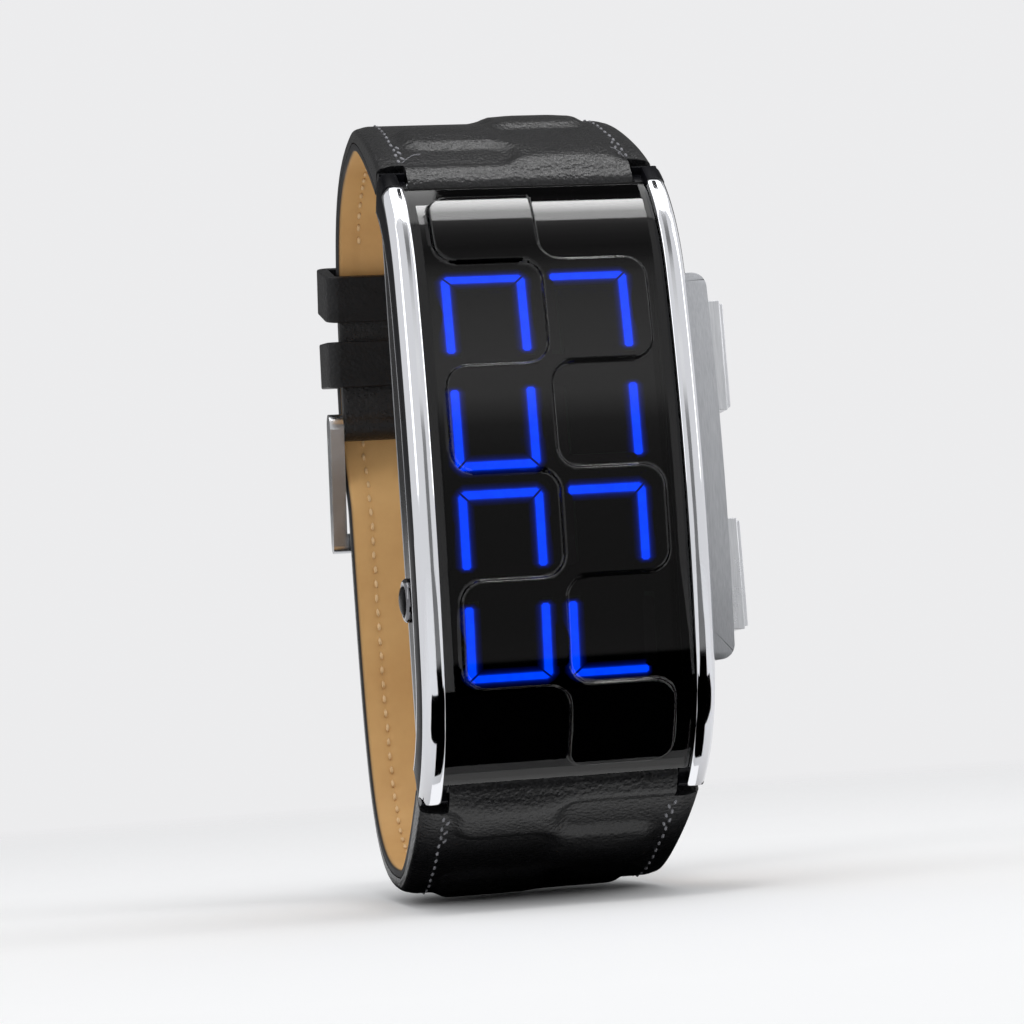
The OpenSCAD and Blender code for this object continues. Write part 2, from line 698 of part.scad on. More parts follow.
// Distance along a path to each of its points
function lengths(p, i = 0, so_far = 0) = i >= len(p) ? []
  : let (d = i == 0 ? 0 : norm(p[i] - p[i - 1])) concat([so_far + d], lengths(p, i + 1, so_far + d));
// Unit vector out of the loop at point i; turned is 1 on the short path and -1 on the long one
function outward(p, i, turned) = let (a = p[max(0, i - 1)], b = p[min(len(p) - 1, i + 1)], d = (b - a) / norm(b - a))
  turned * [-d[1], d[0]];
short_s = lengths(short_path);
long_s = lengths(long_path);
// Point at a distance s along a path, moved out of the loop by o
function along_path(p, ps, s, o, turned) = let (
    i = max([for (k = [0:len(p) - 2]) ps[k] <= s ? k : 0]),
    f = (s - ps[i]) / (ps[i + 1] - ps[i]),
    n = outward(p, i, turned) * (1 - f) + outward(p, i + 1, turned) * f)
  p[i] + f * (p[i + 1] - p[i]) + o * n / norm(n);
function smooth(t) = let (u = max(0, min(1, t))) u * u * (3 - 2 * u);
lug_thick = wrap_r + 0.05 + wrap_r;
thin_after = 16;
function thick(s) = lug_thick + (strap_t - lug_thick) * smooth(s / thin_after);
step_s = 1.6;
// Distances from s0 to s1, about step_s apart
function stations(s0, s1) = let (n = max(1, round((s1 - s0) / step_s))) [for (i = [0:n]) s0 + (s1 - s0) * i / n];

// Short half: from the upper lug to the buckle bar
function find_s(p, ps, z) = max([for (k = [0:len(p) - 1]) p[k][1] > z ? ps[k] : 0]);
function short_at(s, o) = along_path(short_path, short_s, s, o, 1);
// Distance along the short path where it comes down to height z at the back
function short_height(z, lo = 0, hi = 10 * loop_half, n = 24) = let (top = short_s[len(short_s) - 1],
    a = max(lo, short_s[steps]), b = min(hi, top), mid = (a + b) / 2)
  n == 0 ? mid : short_at(mid, 0)[1] > z ? short_height(z, mid, b, n - 1) : short_height(z, a, mid, n - 1);
buckle_s = short_height(buckle_z);
bar_off = strap_t / 2;
buckle_at = short_at(buckle_s, bar_off);
fold_r = strap_t / 2 + 0.3;
fold_s = buckle_s - fold_len;
lining_start = wrap_r + 0.5;
bend_r = 0.8;

// Long half: out of the lower lug, in under the front bar, then outside the short half
layer_off = strap_t + 0.6;
cross_z0 = 1.2;
cross_z1 = 8.4;
function long_at(s, o) = let (p = along_path(long_path, long_s, s, 0, -1))
  along_path(long_path, long_s, s, o + (p[0] < 0 ? 0 : layer_off * smooth((p[1] - cross_z0) / (cross_z1 - cross_z0))), -1);
long_back_s = long_s[len(half_path) - 1];
tail_s = long_back_s + (short_s[len(short_s) - 1] - short_height(tail_z));

// Outline of a band between two offsets given as lists, one for each station
module band_short(at, inner, outer) {
  polygon(concat([for (i = [0:len(at) - 1]) short_at(at[i], inner[i])],
    [for (i = [len(at) - 1:-1:0]) short_at(at[i], outer[i])]));
}
module band_long(at, inner, outer) {
  polygon(concat([for (i = [0:len(at) - 1]) long_at(at[i], inner[i])],
    [for (i = [len(at) - 1:-1:0]) long_at(at[i], outer[i])]));
}
// Cuts the strap to its width, which tapers towards the back
module strap_width() {
  translate([0, 0, -far]) linear_extrude(2 * far)
    polygon([[-strap_w / 2, -far / 4], [-strap_w / 2, bar_at[0]], [-strap_end_w / 2, loop_back], [-strap_end_w / 2, far],
      [strap_end_w / 2, far], [strap_end_w / 2, loop_back], [strap_w / 2, bar_at[0]], [strap_w / 2, -far / 4]]);
}
shoulder = lug_r + 0.5;
tab_w = 2 * lug_in - 0.3;
// Clears the lugs beside the tab that goes between them
module lug_notches() {
  both_sides() along_x(tab_w / 2, far)
    polygon([bar_at - 6 * along - 9 * out, bar_at - 6 * along + 9 * out, bar_at + shoulder * along + 9 * out,
      bar_at + shoulder * along - 9 * out]);
}
pad_w = cell_w;
pad_edge = 0.9;
first_pad = shoulder + 0.8;
// Raised blocks in two columns, each starting where its neighbour ends
module pad_short(s0, s1) {
  at = concat([s0, s0 + pad_edge], [for (i = [1:4]) s0 + pad_edge + (s1 - s0 - 2 * pad_edge) * i / 4], [s1]);
  n = len(at) - 1;
  band_short(at, [for (i = [0:n]) thick(at[i]) - 0.3], [for (i = [0:n]) thick(at[i]) + (i == 0 || i == n ? -0.1 : pad_h)]);
}
module pad_long(s0, s1) {
  at = concat([s0, s0 + pad_edge], [for (i = [1:4]) s0 + pad_edge + (s1 - s0 - 2 * pad_edge) * i / 4], [s1]);
  n = len(at) - 1;
  band_long(at, [for (i = [0:n]) thick(at[i]) - 0.3], [for (i = [0:n]) thick(at[i]) + (i == 0 || i == n ? -0.1 : pad_h)]);
}
pads_short = 4;
pads_long = 4;
function pad_start(k) = first_pad + k * pad_len;

module strap_short_leather() {
  at = concat(stations(0, fold_s), stations(fold_s + 0.01, buckle_s));
  color("#17181b") difference() {
    intersection() {
      union() {
        along_x(-far, far) {
          band_short(at, [for (s = at) s > fold_s ? 0 : lining_t], [for (s = at) thick(s)]);
          translate(bar_at) circle(wrap_r);
          translate(buckle_at) circle(fold_r);
        }
        for (k = [0:pads_short - 1]) {
          if (k % 2 == 1) along_x(-pad_w, 0.3) pad_short(pad_start(k), pad_start(k + 1));
          if (k % 2 == 0) along_x(-0.3, pad_w) pad_short(pad_start(k), pad_start(k + 1));
        }
      }
      strap_width();
    }
    lug_notches();
    along_x(-far, far) {
      translate(bar_at) circle(tube_r + run);
      translate(buckle_at) circle(buckle_bar_r + run);
    }
    // slot for the tongue's eye
    along_x(-eye_w / 2 - 0.25, eye_w / 2 + 0.25) translate(buckle_at) circle(fold_r + 1);
  }
}
module strap_short_lining() {
  at = stations(lining_start, fold_s - 0.05);
  color("#b07f48") difference() {
    intersection() {
      along_x(-far, far) band_short(at, [for (s = at) 0], [for (s = at) lining_t - 0.05]);
      strap_width();
    }
    lug_notches();
  }
}
hole_s = long_back_s + 5.6;
hole_count_down = 3;
hole_count_up = 2;
module strap_cuts() {
  // adjusting holes square to the strap, and the one that the tongue passes through
  for (k = [-hole_count_down:hole_count_up]) if (k != 0) {
    p = long_at(hole_s + k * hole_pitch, 0);
    q = long_at(hole_s + k * hole_pitch, 1);
    translate([0, p[0], p[1]]) rotate([atan2(q[0] - p[0], -(q[1] - p[1])) - 180, 0, 0])
      translate([0, 0, -6]) cylinder(r = hole_r, h = 12, $fn = 32);
  }
  translate([0, tongue_a[0], tongue_a[1]]) rotate([-tongue_turn, 0, 0]) translate([0, 0, -14])
    cylinder(r = tongue_t / 2 + 0.45, h = 14, $fn = 32);
}
// Rounded end of the long half
module tail_end() {
  tip = long_at(tail_s, 0);
  along_y(0, far) difference() {
    translate([-far, tip[1] - 9]) square([2 * far, far]);
    translate([0, tip[1] - 9]) scale(1) intersection() {
      translate([-strap_end_w / 2, -1]) square(strap_end_w);
      translate([0, 9 - strap_end_w * 0.62]) circle(strap_end_w * 0.62);
    }
  }
}
module strap_long_leather() {
  at = stations(0, tail_s);
  color("#17181b") difference() {
    intersection() {
      union() {
        mirror([0, 0, 1]) along_x(-far, far) translate(bar_at) circle(wrap_r);
        along_x(-far, far) band_long(at, [for (s = at) lining_t], [for (s = at) thick(s)]);
        for (k = [0:pads_long - 1]) {
          if (k % 2 == 0) along_x(-pad_w, 0.3) pad_long(pad_start(k), pad_start(k + 1));
          if (k % 2 == 1) along_x(-0.3, pad_w) pad_long(pad_start(k), pad_start(k + 1));
        }
      }
      strap_width();
    }
    mirror([0, 0, 1]) lug_notches();
    mirror([0, 0, 1]) along_x(-far, far) translate(bar_at) circle(tube_r + run);
    strap_cuts();
    tail_end();
  }
}
module strap_long_lining() {
  at = stations(lining_start, tail_s);
  color("#b07f48") difference() {
    intersection() {
      along_x(-far, far) band_long(at, [for (s = at) 0], [for (s = at) lining_t - 0.05]);
      strap_width();
    }
    mirror([0, 0, 1]) lug_notches();
    strap_cuts();
    tail_end();
  }
}

// Keepers: leather loops round both halves, the first sewn to the short half
keeper_in = strap_end_w / 2 + soft_gap;
keeper_depth = layer_off + strap_t + soft_gap;
fixed_s = buckle_s - 6.2;
free_s = fixed_s - keeper_len - 2.1;
module keeper(s, under) {
  p = short_at(s, 0);
  q = short_at(s - 1, 0);
  slope = atan2(p[0] - q[0], q[1] - p[1]);
  translate([0, p[0], p[1]]) rotate([slope, 0, 0]) translate([0, 0, -keeper_len / 2]) linear_extrude(keeper_len) difference() {
    translate([0, (keeper_depth - under) / 2]) rounded(2 * (keeper_in + keeper_t), keeper_depth + under + 2 * keeper_t, 1.4);
    translate([-keeper_in, -under]) square([2 * keeper_in, keeper_depth + under]);
  }
}
module keeper_fixed() { color("#141518") keeper(fixed_s, 0.12); }
module keeper_free() { color("#141518") keeper(free_s, soft_gap); }

// Pin buckle
buckle_bar_r = 0.7;
frame_in = strap_end_w / 2 + 0.15;
frame_hinge_r = 1.35;
front_bar_at = short_at(min(short_s[len(short_s) - 1] - 0.01, buckle_s + buckle_z), 0)
  + [strap_t + 0.35 + front_bar_r, buckle_z - buckle_len];
module buckle_bar() {
  color("#a4a7ac") {
    along_x(-frame_in + gap, frame_in - gap) translate(buckle_at) circle(buckle_bar_r);
    along_x(-frame_in - 0.7, frame_in + 0.7) translate(buckle_at) circle(tip_r);
  }
}
module buckle_frame() {
  u = (front_bar_at - buckle_at) / norm(front_bar_at - buckle_at);
  n = [-u[1], u[0]];
  color("#c3c6cb") difference() {
    union() {
      both_sides() along_x(frame_in, frame_in + arm_t) {
        translate(buckle_at) circle(frame_hinge_r);
        translate(front_bar_at) circle(front_bar_r);
        polygon([buckle_at + frame_hinge_r * n, buckle_at - frame_hinge_r * n, front_bar_at - front_bar_r * n,
          front_bar_at + front_bar_r * n]);
      }
      along_x(-frame_in - arm_t / 2, frame_in + arm_t / 2) translate(front_bar_at) circle(front_bar_r);
    }
    along_x(-frame_in - 0.8, frame_in + 0.8) translate(buckle_at) circle(tip_r + run);
  }
}
eye_w = 2;
eye_r = 1.3;
tongue_w = 1.7;
// The tongue's rod lies on the front bar
tongue_b = front_bar_at + (front_bar_r + 0.08 + tongue_t / 2) * [1, 0];
tongue_a = buckle_at + (eye_r - tongue_t / 2) * [0.9, 0];
tongue_turn = -atan2(tongue_b[0] - tongue_a[0], tongue_a[1] - tongue_b[1]);
module buckle_tongue() {
  reach = norm(tongue_b - tongue_a) + front_bar_r * 0.8;
  color("#c3c6cb") difference() {
    union() {
      along_x(-eye_w / 2, eye_w / 2) translate(buckle_at) circle(eye_r);
      translate([0, tongue_a[0], tongue_a[1]]) rotate([-tongue_turn, 0, 0]) translate([0, 0, -reach])
        cylinder(r = tongue_t / 2, h = reach);
    }
    along_x(-far, far) translate(buckle_at) circle(buckle_bar_r + run);
  }
}

middle_case();
rail_left();
rail_right();
display_lens();
lens_gasket();
segment_mask();
light_bars();
led_board();
works_frame();
main_board();
controller_chip();
quartz_crystal();
switch_contacts();
cell_upper();
cell_lower();
cell_contacts();
case_back();
case_back_gasket();
case_back_screws();
side_plate();
side_plate_screws();
stud_collar();
stud_cap();
pusher_upper();
pusher_lower();
pusher_spring_upper();
pusher_spring_lower();
pusher_seal_upper();
pusher_seal_lower();
pusher_clip_upper();
pusher_clip_lower();
spring_bar_upper();
spring_bar_lower();
strap_short_leather();
strap_short_lining();
strap_long_leather();
strap_long_lining();
keeper_fixed();
keeper_free();
buckle_bar();
buckle_frame();
buckle_tongue();
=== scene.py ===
import math
import random

import bmesh
import bpy
from mathutils import Matrix, Vector


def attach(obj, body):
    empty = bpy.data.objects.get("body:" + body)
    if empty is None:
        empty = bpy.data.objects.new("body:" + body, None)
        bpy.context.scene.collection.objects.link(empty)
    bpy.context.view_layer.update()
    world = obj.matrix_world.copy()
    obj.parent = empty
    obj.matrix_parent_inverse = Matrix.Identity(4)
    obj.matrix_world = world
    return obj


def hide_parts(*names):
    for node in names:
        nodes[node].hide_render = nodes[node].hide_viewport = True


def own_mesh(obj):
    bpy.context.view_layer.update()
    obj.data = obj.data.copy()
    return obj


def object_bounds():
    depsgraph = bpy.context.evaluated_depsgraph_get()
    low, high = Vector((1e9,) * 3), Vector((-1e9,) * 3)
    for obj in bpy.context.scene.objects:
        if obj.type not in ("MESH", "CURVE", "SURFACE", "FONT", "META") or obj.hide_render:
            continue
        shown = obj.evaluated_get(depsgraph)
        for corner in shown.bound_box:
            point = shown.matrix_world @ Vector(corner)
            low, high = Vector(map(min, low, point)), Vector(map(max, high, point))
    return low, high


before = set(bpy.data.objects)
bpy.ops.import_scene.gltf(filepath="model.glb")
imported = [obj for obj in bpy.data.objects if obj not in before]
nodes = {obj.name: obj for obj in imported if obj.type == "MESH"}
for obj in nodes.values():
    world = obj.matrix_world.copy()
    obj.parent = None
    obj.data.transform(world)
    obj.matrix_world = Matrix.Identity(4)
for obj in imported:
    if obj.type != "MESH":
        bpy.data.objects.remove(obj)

cad_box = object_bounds()
MM = 0.001

# Camera: a long lens a little left of and below the display, as in a
# product shot, tipped a few degrees to one side.
camera_at = Vector((-45.456, -238.055, -22.639)) * MM
aim = Vector((-4.327, -26.2, -3.509)) * MM
roll = math.radians(-4.102)
forward = (aim - camera_at).normalized()
level = forward.cross(Vector((0, 0, 1))).normalized()
upright = level.cross(forward)
across = level * math.cos(roll) + upright * math.sin(roll)
above = upright * math.cos(roll) - level * math.sin(roll)
camera_data = bpy.data.cameras.new("camera")
FILM, FOCAL_PIXELS, PICTURE_PIXELS = 36, 2600, 1024
camera_data.sensor_width = FILM
camera_data.lens = FILM * FOCAL_PIXELS / PICTURE_PIXELS
camera_data.clip_start = 0.01
camera = bpy.data.objects.new("camera", camera_data)
camera.matrix_world = Matrix((
    (across.x, above.x, -forward.x, camera_at.x),
    (across.y, above.y, -forward.y, camera_at.y),
    (across.z, above.z, -forward.z, camera_at.z),
    (0, 0, 0, 1)))
bpy.context.scene.collection.objects.link(camera)
bpy.context.scene.camera = camera
bpy.context.scene.view_settings.view_transform = "Standard"


# Floor: a pale sheet just under the strap, where the closed watch stands on
# its lower bend. It fades into the backdrop well away from the watch.
def plain_object(name, bm):
    """A mesh object made from a bmesh that is already in metres."""
    mesh = bpy.data.meshes.new(name)
    bm.to_mesh(mesh)
    bm.free()
    made = bpy.data.objects.new(name, mesh)
    bpy.context.scene.collection.objects.link(made)
    return made


def new_material(name, colour, roughness, metallic=0.0):
    """A node material with its Principled node, ready for detail."""
    material = bpy.data.materials.new(name)
    material.use_nodes = True
    shader = material.node_tree.nodes["Principled BSDF"]
    shader.inputs["Base Color"].default_value = (*colour, 1)
    shader.inputs["Roughness"].default_value = roughness
    shader.inputs["Metallic"].default_value = metallic
    return material, material.node_tree, shader


def spread(tree, value, low, high, start=0.3, end=0.7):
    """Maps a value from the range start to end onto the range low to high."""
    node = tree.nodes.new("ShaderNodeMapRange")
    node.inputs["From Min"].default_value = start
    node.inputs["From Max"].default_value = end
    node.inputs["To Min"].default_value = low
    node.inputs["To Max"].default_value = high
    tree.links.new(value, node.inputs["Value"])
    return node.outputs["Result"]


FLOOR_GAP, FLOOR_R = 0.4, 900
FADE_FROM, FADE_TO = 0.1, 0.5
floor_z = cad_box[0][2] - FLOOR_GAP * MM
bm = bmesh.new()
bmesh.ops.create_circle(bm, cap_ends=True, segments=96, radius=FLOOR_R * MM)
bmesh.ops.translate(bm, verts=bm.verts, vec=(0, 0, floor_z))
floor = plain_object("floor", bm)
floor_material, tree, shader = new_material("pale_floor", (0.9, 0.9, 0.9), 0.7)
shader.inputs["Specular IOR Level"].default_value = 0.0
place = tree.nodes.new("ShaderNodeTexCoord")
distance = tree.nodes.new("ShaderNodeVectorMath")
distance.operation = "LENGTH"
tree.links.new(place.outputs["Object"], distance.inputs[0])
clear = tree.nodes.new("ShaderNodeBsdfTransparent")
fade = tree.nodes.new("ShaderNodeMixShader")
tree.links.new(spread(tree, distance.outputs["Value"], 0, 1, FADE_FROM, FADE_TO), fade.inputs[0])
tree.links.new(shader.outputs[0], fade.inputs[1])
tree.links.new(clear.outputs[0], fade.inputs[2])
tree.links.new(fade.outputs[0], tree.nodes["Material Output"].inputs["Surface"])
floor.data.materials.append(floor_material)

# Light: a pale studio with soft boxes left, right and above. Five cards, seen
# only in reflections, grade what glass, steel and leather show from bright
# bands down to black.
world = bpy.data.worlds.new("studio")
bpy.context.scene.world = world
world.use_nodes = True
tree = world.node_tree
surround = tree.nodes["Background"]
surround.inputs["Color"].default_value = (0.97, 0.98, 1.0, 1)
surround.inputs["Strength"].default_value = 0.6
backdrop = tree.nodes.new("ShaderNodeBackground")
backdrop.inputs["Color"].default_value = (0.84, 0.84, 0.85, 1)
backdrop.inputs["Strength"].default_value = 1.0
rays = tree.nodes.new("ShaderNodeLightPath")
shown = rays.outputs["Is Camera Ray"]
for kind in ("Is Glossy Ray", "Is Transmission Ray"):
    either = tree.nodes.new("ShaderNodeMath")
    either.operation = "MAXIMUM"
    tree.links.new(shown, either.inputs[0])
    tree.links.new(rays.outputs[kind], either.inputs[1])
    shown = either.outputs[0]
choose = tree.nodes.new("ShaderNodeMixShader")
tree.links.new(shown, choose.inputs[0])
tree.links.new(surround.outputs[0], choose.inputs[1])
tree.links.new(backdrop.outputs[0], choose.inputs[2])
tree.links.new(choose.outputs[0], tree.nodes["World Output"].inputs["Surface"])


def facing(place, target):
    """A turn and move that puts something at place with its -Z towards target; millimetres."""
    place, target = Vector(place) * MM, Vector(target) * MM
    return Matrix.Translation(place) @ (target - place).to_track_quat("-Z", "Y").to_matrix().to_4x4()


def soft_box(name, place, target, size, radiance, mirrored=True):
    """A rectangular lamp of an even brightness; sizes in millimetres."""
    data = bpy.data.lights.new(name, "AREA")
    data.shape = "RECTANGLE"
    data.size, data.size_y = size[0] * MM, size[1] * MM
    data.energy = radiance * math.pi * data.size * data.size_y
    lamp = bpy.data.objects.new(name, data)
    lamp.matrix_world = facing(place, target)
    lamp.visible_glossy = mirrored
    bpy.context.scene.collection.objects.link(lamp)


soft_box("lamp_left", (-800, -260, 420), (0, 0, 0), (420, 760), 1.5)
soft_box("lamp_right", (800, -300, 420), (0, 0, 0), (420, 760), 1.7)
soft_box("lamp_key", (-20, -207, 676), (0, -20, 0), (90, 90), 22)
soft_box("lamp_top", (0, -160, 700), (0, -10, 0), (700, 500), 1.3, mirrored=False)


def graded_card(name, rows):
    """A card seen only in reflections, made of rows: left and right x, y, z and brightness; millimetres."""
    bm = bmesh.new()
    level = bm.verts.layers.float.new("level")
    bmesh.ops.create_grid(bm, x_segments=1, y_segments=len(rows) - 1, size=1)
    for vert in bm.verts:
        left, right, y, z, bright = rows[round((vert.co.y + 1) / 2 * (len(rows) - 1))]
        vert.co = Vector((left if vert.co.x < 0 else right, y, z)) * MM
        vert[level] = bright
    card = plain_object(name, bm)
    material = bpy.data.materials.new(name)
    material.use_nodes = True
    tree = material.node_tree
    tree.nodes.remove(tree.nodes["Principled BSDF"])
    shine = tree.nodes.new("ShaderNodeEmission")
    level = tree.nodes.new("ShaderNodeAttribute")
    level.attribute_name = "level"
    tree.links.new(level.outputs["Fac"], shine.inputs["Strength"])
    tree.links.new(shine.outputs[0], tree.nodes["Material Output"].inputs["Surface"])
    card.data.materials.append(material)
    card.visible_camera = card.visible_diffuse = card.visible_shadow = card.visible_transmission = False


ARCH_Y, ARCH_R, LUG_CARD_R = -26, 430, 445


def arch_row(left, right, degrees, bright, radius=ARCH_R):
    """A row of a card that arches over the watch from front to back."""
    turn = math.radians(degrees)
    return left, right, ARCH_Y - radius * math.cos(turn), radius * math.sin(turn), bright


# narrower where it turns dark, so that the rails' upper ends don't show that
graded_card("arch_card", [
    arch_row(*((48, 124) if a < 88 else (60, 121)), a, bright) for a, bright in (
        (-5.1, 0.2), (5, 0.22), (9, 0.26), (11.5, 0.34), (15, 0.85), (19, 0.9), (24, 0.8), (30, 0.6), (36, 0.5),
        (42, 0.3), (50, 0.22), (58, 0.3), (66, 0.5), (70.5, 0.9), (71.5, 7.5), (77, 8.0), (82, 14.0), (87, 18.0),
        (88, 0.1), (94, 0.05), (103, 0.05))])
graded_card("back_card", [arch_row(-280, 320, a, 0.14) for a in range(112, 177, 8)])
# two just over the floor, below the watch and in front of it
low = floor_z / MM + 0.2
graded_card("under_card", [(-13, 14, -21, low, 1.2), (-13, 14, -14, low, 1.2), (-14, 15, -12, low, 0.25),
                           (-16, 18, -9, low, 0.0), (-26, 26, -5, low, 0.0), (-36, 36, 32, low, 0.0)])
graded_card("floor_card", [(46, 124, -455, low, 0.2), (8, 56, -150, low, 0.2), (3, 46, -112, low, 0.22),
                           (2, 45, -109, low, 0.0), (-4, 28, -60, low, 0.0), (-30, 46, -59, low, 0.0),
                           (-30, 42, -33, low, 0.0), (-10, 17, -32, low, 0.0), (-11, 15, -23, low, 0.0)])
# a wide one over the place where the strap meets the case
graded_card("lug_card", [arch_row(-260, 360, a, bright, LUG_CARD_R) for a, bright in (
    (70, 0.4), (73, 2.6), (88, 2.6), (102, 3.4), (107, 0.8), (112, 0.14))])

# Middle case: a black coated steel body with four lugs, milled from one
# block, whose long walls stand bare on both sides.

# points this near are merged (millimetres), faces this flat are joined and
# edges this sharp are rounded (degrees)
WELD, FLAT, SHARP = 0.002, 0.6, 28


def rounded_copy(node, edge, segments=2):
    """The CAD node's shape with its sharp edges broken by a small round; edge in millimetres."""
    bm = bmesh.new()
    bm.from_mesh(nodes[node].data)
    bmesh.ops.remove_doubles(bm, verts=bm.verts, dist=WELD * MM)
    bmesh.ops.dissolve_limit(bm, angle_limit=math.radians(FLAT), verts=bm.verts, edges=bm.edges)
    for face in bm.faces:
        face.smooth = True
    made = plain_object(node + "_shape", bm)
    rounding = made.modifiers.new("rounding", "BEVEL")
    rounding.width = edge * MM
    rounding.segments = segments
    rounding.limit_method = "ANGLE"
    rounding.angle_limit = math.radians(SHARP)
    rounding.use_clamp_overlap = True
    shading = made.modifiers.new("shading", "WEIGHTED_NORMAL")
    shading.keep_sharp = True
    return made


def coordinates(tree, scale, stretch=(1, 1, 1)):
    """Object coordinates in millimetres times scale, stretched along the axes."""
    place = tree.nodes.new("ShaderNodeTexCoord")
    mapping = tree.nodes.new("ShaderNodeMapping")
    mapping.inputs["Scale"].default_value = [1000 * scale * k for k in stretch]
    tree.links.new(place.outputs["Object"], mapping.inputs["Vector"])
    return mapping.outputs["Vector"]


def add_noise(tree, vector, detail=4, roughness=0.55):
    """A noise texture's value on the given coordinates."""
    texture = tree.nodes.new("ShaderNodeTexNoise")
    texture.inputs["Scale"].default_value = 1
    texture.inputs["Detail"].default_value = detail
    texture.inputs["Roughness"].default_value = roughness
    tree.links.new(vector, texture.inputs["Vector"])
    return texture.outputs["Fac"]


def add_bump(tree, shader, height, strength, distance, under=None):
    """Drives the shader's normal from a height value; distance in millimetres."""
    node = tree.nodes.new("ShaderNodeBump")
    node.inputs["Strength"].default_value = strength
    node.inputs["Distance"].default_value = distance * MM
    tree.links.new(height, node.inputs["Height"])
    if under:
        tree.links.new(under.outputs["Normal"], node.inputs["Normal"])
    tree.links.new(node.outputs["Normal"], shader.inputs["Normal"])
    return node


def shade_between(tree, shader, value, dark, light):
    """Base colour between two colours by a value from 0 to 1."""
    ramp = tree.nodes.new("ShaderNodeValToRGB")
    ramp.color_ramp.elements[0].color = (*dark, 1)
    ramp.color_ramp.elements[1].color = (*light, 1)
    tree.links.new(value, ramp.inputs["Fac"])
    tree.links.new(ramp.outputs["Color"], shader.inputs["Base Color"])
    return ramp


def coated(name, dark, light, rough, metallic=0.0, coat=0.0, tooth=0.12, level=0.5):
    """Coated, moulded or bare metal surface with faint clouding, a fine tooth and a level of shine."""
    material, tree, shader = new_material(name, light, rough, metallic)
    cloud = add_noise(tree, coordinates(tree, 0.25))
    fine = add_noise(tree, coordinates(tree, 9), detail=2)
    shade_between(tree, shader, spread(tree, cloud, 0, 1), dark, light)
    tree.links.new(spread(tree, cloud, rough * 0.8, rough * 1.2), shader.inputs["Roughness"])
    add_bump(tree, shader, fine, tooth, 0.02)
    shader.inputs["Coat Weight"].default_value = coat
    shader.inputs["Coat Roughness"].default_value = 0.08
    shader.inputs["Specular IOR Level"].default_value = level
    return material


def dress(piece, material, body, slot, *replaced):
    """Gives a piece its material and body, and hides what it stands for. The slot is not used."""
    piece.data.materials.clear()
    piece.data.materials.append(material)
    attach(piece, body)
    if replaced:
        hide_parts(*replaced)
    return piece


def finish_node(node, material):
    """Gives a CAD node its finish and leaves its shape alone."""
    mesh = nodes[node].data
    mesh.materials.clear()
    mesh.materials.append(material)


black_steel = coated("black_steel", (0.004, 0.004, 0.005), (0.008, 0.008, 0.010), 0.25, level=0.05)
dress(rounded_copy("middle_case", 0.1), black_steel, "case", "black_steel", "middle_case")

# Case back: a brushed steel plate on a rubber gasket, held by four screws in
# the long walls.
BRUSH_STRETCH = (1, 1, 0.04)


def brushed(name, dark, light, rough):
    """Steel with fine brush lines along the case."""
    material, tree, shader = new_material(name, light, rough, metallic=1.0)
    lines = add_noise(tree, coordinates(tree, 14, BRUSH_STRETCH), detail=3)
    cloud = add_noise(tree, coordinates(tree, 0.3))
    shade_between(tree, shader, spread(tree, lines, 0, 1, 0.25, 0.75), dark, light)
    tree.links.new(spread(tree, cloud, rough * 0.85, rough * 1.2), shader.inputs["Roughness"])
    add_bump(tree, shader, lines, 0.22, 0.012)
    return material


plate_steel = brushed("plate_steel", (0.40, 0.41, 0.43), (0.52, 0.53, 0.55), 0.4)
finish_node("case_back", plate_steel)
black_rubber = coated("black_rubber", (0.012, 0.012, 0.012), (0.03, 0.03, 0.03), 0.75)
finish_node("case_back_gasket", black_rubber)
screw_steel = coated("screw_steel", (0.35, 0.36, 0.38), (0.52, 0.53, 0.56), 0.25, metallic=1.0)
finish_node("case_back_screws", screw_steel)

# Works: a moulded frame carries two boards, a chip, a crystal, two button
# cells and their sprung contacts inside the closed case.
ivory_plastic = coated("ivory_plastic", (0.62, 0.59, 0.50), (0.74, 0.71, 0.62), 0.5)
board_green = coated("board_green", (0.01, 0.09, 0.03), (0.02, 0.16, 0.06), 0.35, coat=0.6)
chip_black = coated("chip_black", (0.010, 0.010, 0.012), (0.022, 0.022, 0.025), 0.6)
cell_steel = coated("cell_steel", (0.55, 0.56, 0.57), (0.70, 0.71, 0.72), 0.22, metallic=1.0)
gold_contact = coated("gold_contact", (0.70, 0.46, 0.14), (0.86, 0.62, 0.24), 0.25, metallic=1.0)
for node, material in (
        ("works_frame", ivory_plastic), ("led_board", board_green), ("main_board", board_green),
        ("controller_chip", chip_black), ("quartz_crystal", cell_steel), ("cell_upper", cell_steel),
        ("cell_lower", cell_steel), ("cell_contacts", gold_contact), ("switch_contacts", gold_contact),
        ("lens_gasket", black_rubber)):
    finish_node(node, material)

# Segment mask: a matt black sheet behind the lens, with a slot for each
# light bar.
mask_black = coated("mask_black", (0.001, 0.001, 0.0015), (0.002, 0.002, 0.0025), 0.8, level=0.0)
finish_node("segment_mask", mask_black)

# Light bars: moulded diffusers with mitred ends, lit from behind in blue.
# Nineteen are lit, each ringed by a painted glow that stands for light spreading past its edges; five are dark.

# the display's curve: a flat arc over the middle and a tighter one at each end
FRONT_Y = -26.2
MIDDLE_R, MIDDLE_LEN, END_R = 118.0, 33.0, 16.0
middle_turn = MIDDLE_LEN / 2 / MIDDLE_R
end_centre = (FRONT_Y + MIDDLE_R - (MIDDLE_R - END_R) * math.cos(middle_turn),
              (MIDDLE_R - END_R) * math.sin(middle_turn))


